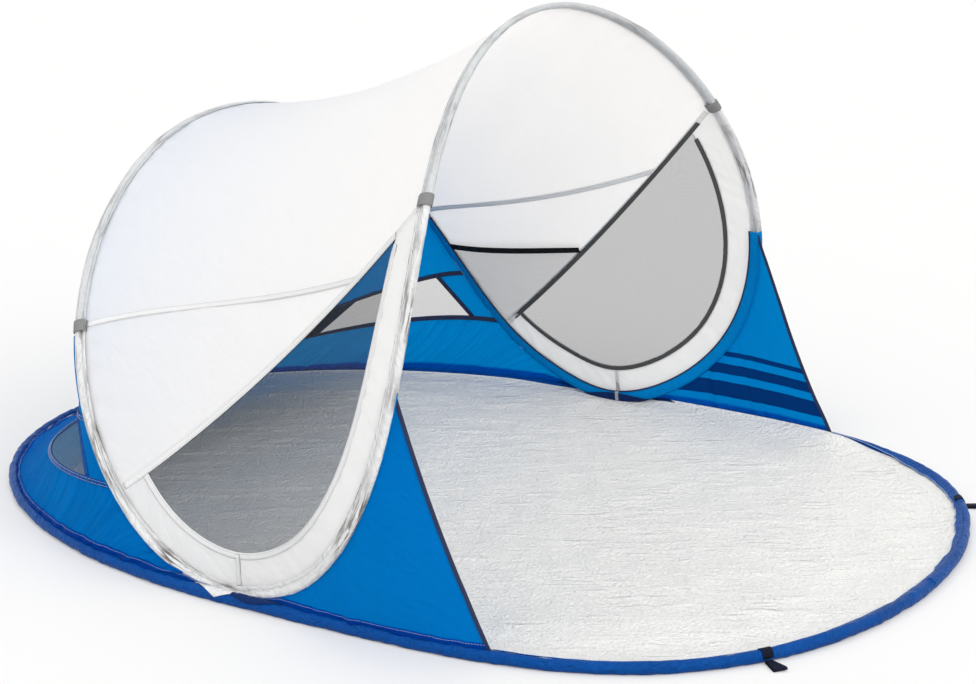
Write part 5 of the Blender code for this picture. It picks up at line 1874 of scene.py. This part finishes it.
@dataclass
class Studio:
    """The camera at the photograph's angle, soft lamps, a pale floor and a white background."""

    position: tuple[float, float, float] = (-3.344, -2.136, 1.406)
    azimuth: float = -58.07
    elevation: float = 15.84
    lens: float = 86.6
    floor_size: float = 60.0
    floor_colour: tuple[float, float, float, float] = (0.64, 0.64, 0.64, 1.0)
    floor_glow: float = 0.16
    glow_colour: tuple[float, float, float, float] = (1.0, 0.985, 0.96, 1.0)
    daylight: float = 0.79

    def build(self) -> None:
        """Makes the camera, lamps, floor and world."""
        camera = bpy.data.cameras.new("camera")
        camera.lens, camera.sensor_width = self.lens, 36.0
        camera.clip_start, camera.clip_end = 0.05, 200.0
        eye = bpy.data.objects.new("camera", camera)
        eye.location = self.position
        eye.rotation_euler = (math.radians(90 - self.elevation), 0.0, math.radians(self.azimuth))
        bpy.context.scene.collection.objects.link(eye)
        bpy.context.scene.camera = eye
        self.sun("key", (-0.35, -0.90, 0.85), 50.0, 1.34)
        self.sun("fill", (-1.00, 0.10, 0.70), 80.0, 0.92)
        self.sun("back", (0.55, 0.60, 1.0), 34.0, 0.32)
        self.floor()
        self.world()
        bpy.context.scene.view_settings.view_transform = "Standard"

    def sun(self, name: str, towards: tuple[float, float, float], spread: float, strength: float) -> None:
        """A soft sun, like daylight through a large screen.

        Args:
            name: Name of the lamp.
            towards: Direction from the tent to the lamp.
            spread: How wide the lamp looks from the tent, in degrees.
            strength: Light on a surface that faces it, in watts per square metre.
        """
        light = bpy.data.lights.new(name, "SUN")
        light.energy, light.angle = strength, math.radians(spread)
        thing = bpy.data.objects.new(name, light)
        wide, fore, high = towards
        thing.rotation_euler = (math.atan2(math.hypot(wide, fore), high), 0.0, math.atan2(fore, wide) + math.pi / 2)
        bpy.context.scene.collection.objects.link(thing)

    def floor(self) -> None:
        """A pale matt floor that reads as white in the picture and keeps the tent's shadow."""
        half = self.floor_size / 2
        mesh = bpy.data.meshes.new("studio_floor")
        mesh.from_pydata([(-half, -half, 0), (half, -half, 0), (half, half, 0), (-half, half, 0)], [], [(0, 1, 2, 3)])
        thing = bpy.data.objects.new("studio_floor", mesh)
        bpy.context.scene.collection.objects.link(thing)
        made = bpy.data.materials.new("studio_floor")
        made.use_nodes = True
        tree = made.node_tree
        tree.nodes.clear()
        seen = self.seen(tree)
        plain = add_node(tree, "BsdfDiffuse", {"Color": self.floor_colour}).outputs[0]
        glow = add_node(tree, "Math", {0: seen, 1: self.floor_glow}, operation="MULTIPLY").outputs[0]
        light = add_node(tree, "Emission", {"Color": self.glow_colour, "Strength": glow}).outputs[0]
        both = add_node(tree, "AddShader", {0: plain, 1: light}).outputs[0]
        add_node(tree, "OutputMaterial", {"Surface": both})
        mesh.materials.append(made)

    def seen(self, tree: bpy.types.NodeTree) -> Socket:
        """1 for rays from the camera, also by way of gloss or glass, and 0 for the rest.

        Args:
            tree: The node tree.

        Returns:
            The socket.
        """
        rays = add_node(tree, "LightPath").outputs
        either = add_node(tree, "Math", {0: rays["Is Camera Ray"], 1: rays["Is Glossy Ray"]},
                          operation="MAXIMUM").outputs[0]
        return add_node(tree, "Math", {0: either, 1: rays["Is Transmission Ray"]}, operation="MAXIMUM").outputs[0]

    def world(self) -> None:
        """A white background to the eye, and even daylight for the tent."""
        world = bpy.data.worlds.new("studio")
        bpy.context.scene.world = world
        world.use_nodes = True
        tree = world.node_tree
        tree.nodes.clear()
        strength = add_node(tree, "MapRange", {"Value": self.seen(tree), "To Min": self.daylight}).outputs["Result"]
        sky = add_node(tree, "Background", {"Color": (1.0, 1.0, 1.0, 1.0), "Strength": strength}).outputs[0]
        add_node(tree, "OutputWorld", {"Surface": sky})


def dress_rods() -> None:
    """Gives the rods and ferrules inside the sleeves their steel."""
    steel = Steel().material()
    for name in ("floor_rod", "floor_ferrule", "saddle_rod", "saddle_ferrule"):
        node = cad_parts[name]
        node.data.materials.clear()
        node.data.materials.append(steel)


def main() -> None:
    """Builds the dressed tent and its studio."""
    logging.basicConfig(level=logging.INFO, format="%(message)s")
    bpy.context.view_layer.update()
    for assembly in (FloorCloths(), SaddleCloths(), Roof(), Sides(), Wings(), BackWall(), Pocket(), PegLoops(),
                     Studio()):
        LOG.info("building %s", type(assembly).__name__)
        assembly.build()
    dress_rods()


if __name__ == "__main__":
    main()
